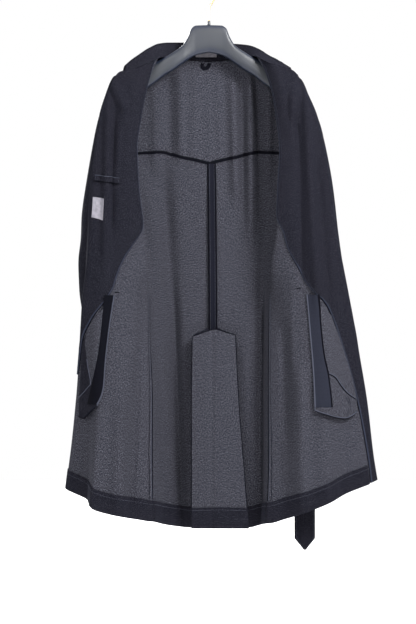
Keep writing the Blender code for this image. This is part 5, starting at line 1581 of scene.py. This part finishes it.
def add_buckle():
    """A plain frame with rounded corners at the belt's other end, and its prong."""
    width, height, wire, corner_radius = BUCKLE
    middle_z = BELT_BUCKLE_END - 0.4 - wire - 0.5 * height
    y = read_table(BELT_TAIL, BELT_BUCKLE_END)[0] + BELT_FOLD_GAP
    route = []
    for corner, (sx, sz) in enumerate(((1, 1), (-1, 1), (-1, -1), (1, -1))):
        for step in range(13):
            angle = math.radians(90.0 * corner + 7.5 * step)
            route.append((
                -BELT_TAIL_X + sx * (0.5 * width - corner_radius) + corner_radius * math.cos(angle),
                y,
                middle_z + sz * (0.5 * height - corner_radius) + corner_radius * math.sin(angle),
            ))
    vertices, faces = tube_around(route, wire, 20, cyclic=True)
    add_solid("buckle", vertices, faces, "horn", "horn")
    reach = 0.5 * height - wire - 0.6
    shares = np.linspace(0.0, 1.0, PRONG_RINGS)
    route = [(-BELT_TAIL_X, y - PRONG_BOW * math.sin(math.pi * share), middle_z + reach * (1.0 - 2.0 * share))
             for share in shares]
    sizes = PRONG_RADIUS * np.interp(shares, (0.0, 0.08, 0.9, 1.0), (0.85, 1.0, 0.9, 0.5))
    rings = [(x + size * math.cos(a), y + size * math.sin(a), z)
             for (x, y, z), size in zip(route, sizes) for a in circle(16)]
    add_solid("buckle_prong", rings, ring_faces(PRONG_RINGS, 16), "brass", "brass")


def back_outside(back, x, z):
    """y just outside the back at x and z."""
    u = np.linspace(2.5, SEAM - 0.05, 60)
    v = np.full(60, np.interp(z, back.grid[-4, ::-1, 2], back.vs[::-1]))
    points, _ = back.at(u, v, -(0.5 * WALL + 0.5 * TRIM + 0.8))
    return points[np.argmin(abs(abs(points[:, 0]) - x)), 1]


def add_belt_loop(back):
    """A tape from above the belt to below it, outside the side seam."""
    side = back.side
    middle, width, reach = BELT_LOOP
    rows = BELT_HEIGHT + np.linspace(reach, -reach, 41)
    columns = []
    for x in np.linspace(middle - 0.5 * width, middle + 0.5 * width, 9):
        top_y, bottom_y = (back_outside(back, x, height) for height in rows[[0, -1]])
        out = read_table(BELT_ROUND, side * x)[0] + 0.5 * WALL + 0.5 * TRIM + BELT_LOOP_SLACK
        share = smoothstep(reach - abs(rows - BELT_HEIGHT), 0.0, 10.0)
        ends = np.where(rows > BELT_HEIGHT, top_y, bottom_y)
        y = ends + (out - ends) * share
        columns.append(np.stack([np.full(len(rows), side * x), y, rows], axis=-1))
    loop = Panel(np.arange(9), np.arange(41), np.stack(columns), side)
    loop.shell(f"belt_loop_{SIDE_NAME[side]}", NAVY_ALL, TRIM)


def add_buttons(front):
    for number, (u, z) in enumerate(BUTTONS, start=1):
        out = 0.5 * WALL + 0.5 * BUTTON_THICKNESS + BUTTON_SHANK + BUTTON_OUT
        place, inwards = front.at(u, line_v(front.side, u, z), -out)
        turn = Vector(-inwards.reshape(3)).to_track_quat("Z", "Y").to_matrix()
        add_button(f"button_{number}", place.reshape(3), np.array(turn))


def add_button(name, place, turn):
    """A button with a rounded rim, a dished middle and four holes."""
    sides = 48
    last = 1 + (len(BUTTON_RINGS) - 1) * sides
    vertices = [(0.0, 0.0, -1.6)]
    for radius, height in BUTTON_RINGS:
        vertices.extend((radius * math.cos(a), radius * math.sin(a), height) for a in circle(sides))
    middle = len(vertices)
    vertices.append((0.0, 0.0, 0.6))
    faces = [(0, 1 + (j + 1) % sides, 1 + j) for j in range(sides)]
    faces += ring_faces(len(BUTTON_RINGS), sides, 1)[:-2]
    faces.extend((last + j, last + (j + 1) % sides, middle) for j in range(sides))
    for quarter in range(4):
        angle = math.pi * (0.5 * quarter + 0.25)
        x = BUTTON_HOLE_OUT * math.cos(angle)
        y = BUTTON_HOLE_OUT * math.sin(angle)
        faces += ring_faces(len(BUTTON_HOLE_RINGS), 12, len(vertices))
        vertices.extend((x + radius * math.cos(a), y + radius * math.sin(a), height)
                        for height, radius in BUTTON_HOLE_RINGS for a in circle(12))
    add_solid(name, np.array(vertices) @ turn.T + place, faces, "horn", "horn")


def armhole_point(angle):
    """A point of the armhole, from the shoulder tip round the back to the underarm and up the front."""
    rows = np.array(ARMHOLE + ARMHOLE[:3], float)
    t = (angle % (2 * math.pi)) / (2 * math.pi) * len(ARMHOLE)
    i = int(t)
    s = t - i
    before = rows[(i - 1) % len(ARMHOLE)]
    p, q, after = rows[i], rows[i + 1], rows[i + 2]
    return hermite(p, q, (q - before) / 2, (after - p) / 2, 1.0, s)


def sleeve_grid(side):
    """Rings from just outside the armhole down to the cuff, with soft creases."""
    top = SLEEVE[0][0]
    cuff = SLEEVE[-1][0]
    loops = []
    for share in np.linspace(0.0, 1.0, SLEEVE_ROWS):
        z = top + (cuff - top) * share
        middle, depth, half_width, half_depth, tilt = read_table(SLEEVE, z)
        joined = 1.0 - smoothstep(share, -0.02, SLEEVE_HEAD)
        loop = []
        for angle in circle(SLEEVE_SIDES):
            start = armhole_point(angle)
            lift = (1.0 - smoothstep(share, 0.0, 1.5 * SLEEVE_HEAD)) * (start[2] - top)
            tube = np.array([
                middle + half_width * math.cos(angle),
                depth + half_depth * math.sin(angle),
                z + tilt * math.cos(angle) * (1.0 - share) + lift * joined,
            ])
            start[0] += SLEEVE_SEAM_STEP
            loop.append(start * joined + tube * (1.0 - joined))
        loops.append(loop)
    grid = np.array(loops).transpose(1, 0, 2)
    in_by, down_by = SLEEVE_HEAD_SHIFT[side]
    grid[..., 0] -= in_by * smoothstep(grid[..., 2], -345.0, -250.0)
    grid[..., 2] -= down_by * smoothstep(grid[..., 2], -320.0, -215.0)
    ring = grid[:, :1]
    middle = ring.mean(axis=0, keepdims=True)
    inside = []
    for back_by, share in SLEEVE_ALLOWANCE:
        turned = middle + (ring - middle) * share
        turned[..., 0] = ring[..., 0] - back_by
        inside.append(turned)
    grid = np.concatenate(inside + [grid], axis=1)
    grid[..., 0] *= side
    return grid


def add_sleeve(side):
    grid = placed(sleeve_grid(side))
    middle = grid.mean(axis=0, keepdims=True)
    ways = normals_of(grid, closed=True)
    ways *= np.sign((ways * (middle - grid)).sum(axis=-1).mean())
    angles = np.linspace(0.0, 6.0, SLEEVE_SIDES, endpoint=False)[:, None]
    rows = np.arange(-len(SLEEVE_ALLOWANCE), SLEEVE_ROWS)[None, :]
    turn = np.minimum(angles, 6.0 - angles) * 2.0
    waves = soft_noise(turn + rows * 0.012, rows / 15.0, 90 + side)
    down = rows / (SLEEVE_ROWS - 1.0)
    fade = smoothstep(down, 0.1, 0.3) * (1.0 - smoothstep(down, 0.9, 0.985))
    grid = grid + ways * (SLEEVE_CREASE * waves * fade)[..., None]
    add_shell(f"sleeve_{SIDE_NAME[side]}", grid, ways, WALL, CLOTH_IN, closed=True)


def hanger_section(count, half_width, half_height):
    """A section with a flat face and well-rounded edges."""
    points = []
    for i in range(count):
        angle = 2 * math.pi * (i + 0.5) / count
        c = math.cos(angle)
        s = math.sin(angle)
        points.append((
            half_width * math.copysign(abs(c) ** (2 / 3.4), c),
            half_height * math.copysign(abs(s) ** (2 / 2.6), s),
        ))
    return points


def add_hanger():
    """The moulded body with its edge shading, the wire hook, and the ferrule at the hook's foot."""
    xs = np.concatenate([np.linspace(0, 60, 60)[:-1], np.linspace(60, 190, 80), HANGER_END])
    xs = np.concatenate([-xs[:0:-1], xs])
    sides = 64
    rings = []
    for x in xs:
        top, bottom, half = read_table(HANGER_ARM, abs(x))
        section = hanger_section(sides, half, 0.5 * (top - bottom))
        rings.append([(x, y, 0.5 * (top + bottom) + up) for y, up in section])
    vertices = np.array(rings).reshape(-1, 3)
    body = add_solid("hanger_body", vertices, ring_faces(len(xs), sides), "plastic", "hanger_plastic",
                     sharp=70.0)
    # Painted shade: each point's share of darkening towards the body's top and bottom edges
    heights = np.array(rings)[..., 2]
    middles = np.repeat(0.5 * (heights[:, 0] + heights[:, sides // 2]), sides)
    halves = np.repeat(0.5 * np.ptp(heights, axis=1), sides)
    edge = smoothstep(abs(vertices[:, 2] - middles) / halves, 0.5, 0.97)
    body.data.attributes.new("edge", "FLOAT", "POINT").data.foreach_set("value", edge.astype(np.float32))

    shank = np.array(HOOK_SHANK, float)
    route = [(x, 0.0, z) for x, z in curve(shank, np.linspace(0.0, len(shank) - 1.0, 40))]
    middle = HOOK_WIRE / 2 - HOOK_RADIUS
    for angle in np.radians(np.linspace(HOOK_SWEEP[0], HOOK_SWEEP[1], 120)):
        route.append((HOOK_RADIUS * math.cos(angle), 0.0, middle + HOOK_RADIUS * math.sin(angle)))
    add_solid("hanger_hook", *tube_around(route, HOOK_WIRE / 2, 24), "brass", "brass")

    radius, length = FERRULE
    vertices = [(radius * max(share, 0.02) * math.cos(a), radius * max(share, 0.02) * math.sin(a),
                 SHANK_BOTTOM - 0.3 - length * down) for share, down in FERRULE_PROFILE for a in circle(40)]
    add_solid("hanger_ferrule", vertices, ring_faces(len(FERRULE_PROFILE), 40), "plastic", "hanger_plastic")


def declare_sheets():
    """Gathers the trims and fittings of each sheet in SHEETS, and does nothing more with them."""
    for node, width, length, share, held, carriers in SHEETS:
        trims = [trim for name, trim in TRIMS.items() if name.startswith(f"{node}_")]
        trims += [PIECES[other] for other in SHEET_FITTINGS.get(node, ())]


YOKE = add_yoke()
BACKS = {}
FRONTS = {}
for half in (WEARER_RIGHT, WEARER_LEFT):
    BACKS[half] = add_back(half)
    FRONTS[half] = add_front(half)
PLEAT_PANEL = add_pleat()
for half in (WEARER_RIGHT, WEARER_LEFT):
    add_facing_binding(add_facing(FRONTS[half]))
    add_hems(half, BACKS[half], FRONTS[half], facing_u(half, FRONTS[half].vs[-1:])[0])
    add_pocket(FRONTS[half])
    add_sleeve(half)
    add_belt_loop(BACKS[half])
turned_hem("hem_pleat", PLEAT_PANEL, np.linspace(0.0, 1.0, 41), 1.0 - HEM_DEPTH / PLEAT_LENGTH)
add_facing_trims(FRONTS[WEARER_RIGHT])
add_buttons(FRONTS[WEARER_LEFT])
add_tapes(YOKE, FRONTS)
add_collar()
add_neck_trims()
add_belt()
add_buckle()
add_hanger()
declare_sheets()


def add_camera():
    """A long lens level with the middle of the picture, which is 624 points high at 2.2 mm each."""
    camera = bpy.data.cameras.new("camera")
    camera.sensor_width = SENSOR
    camera.lens = SENSOR * EYE_DISTANCE / PICTURE_HEIGHT
    camera.clip_end = 30.0
    item = bpy.data.objects.new("camera", camera)
    item.location = (PICTURE_MIDDLE * MM, -EYE_DISTANCE * MM, EYE_HEIGHT * MM)
    item.rotation_euler = (math.radians(90.0), 0.0, 0.0)
    bpy.context.scene.collection.objects.link(item)
    bpy.context.scene.camera = item


def add_floor():
    half = FLOOR_HALF
    corners = [(x, y, FLOOR) for x, y in ((-half, -half), (half, -half), (half, half), (-half, half))]
    mesh = bpy.data.meshes.new("floor")
    mesh.from_pydata([[number * MM for number in corner] for corner in corners], [], [(0, 1, 2, 3)])
    look = Look("floor_white", (0.93, 0.93, 0.93), 0.9)
    look.set("Emission Color", (1.0, 1.0, 1.0, 1.0))
    look.set("Emission Strength", 0.12)
    mesh.materials.append(look.material)
    item = bpy.data.objects.new("floor", mesh)
    bpy.context.scene.collection.objects.link(item)


def add_light(name, place, aim, size, power):
    light = bpy.data.lights.new(name, "AREA")
    light.shape = "RECTANGLE"
    light.size = size[0]
    light.size_y = size[1]
    light.energy = power
    item = bpy.data.objects.new(name, light)
    item.location = place
    item.rotation_euler = (Vector(aim) - Vector(place)).to_track_quat("-Z", "Y").to_euler()
    bpy.context.scene.collection.objects.link(item)


def add_lights():
    world = bpy.data.worlds.new("studio")
    world.use_nodes = True
    background = world.node_tree.nodes["Background"]
    background.inputs["Color"].default_value = (1.0, 1.0, 1.0, 1.0)
    background.inputs["Strength"].default_value = WORLD_STRENGTH
    bpy.context.scene.world = world
    for name, place, size, power in LIGHTS:
        add_light(name, place, LIGHTS_AIM, size, power)


SENSOR = 36.0
PICTURE_HEIGHT = 624 * 2.2
PICTURE_MIDDLE = -1.8
FLOOR = -1455.0
WORLD_STRENGTH = 1.0
FLOOR_HALF = 3000.0
# Lights, in metres and watts. Columns: name, place, size, power. All aim at the middle of the coat
LIGHTS = [
    ("rear", (-1.1, 2.0, 0.5), (0.9, 1.2), 110.0),
    ("key", (1.0, -1.5, 0.45), (0.7, 0.8), 112.0),
    ("fill", (-1.0, -1.9, 0.5), (0.8, 1.0), 30.0),
    ("top", (0.0, 0.3, 1.2), (1.6, 1.0), 6.0),
]
LIGHTS_AIM = (0.0, 0.0, -0.45)

bpy.context.scene.view_settings.view_transform = "Standard"
add_camera()
add_floor()
add_lights()

bpy.context.view_layer.update()
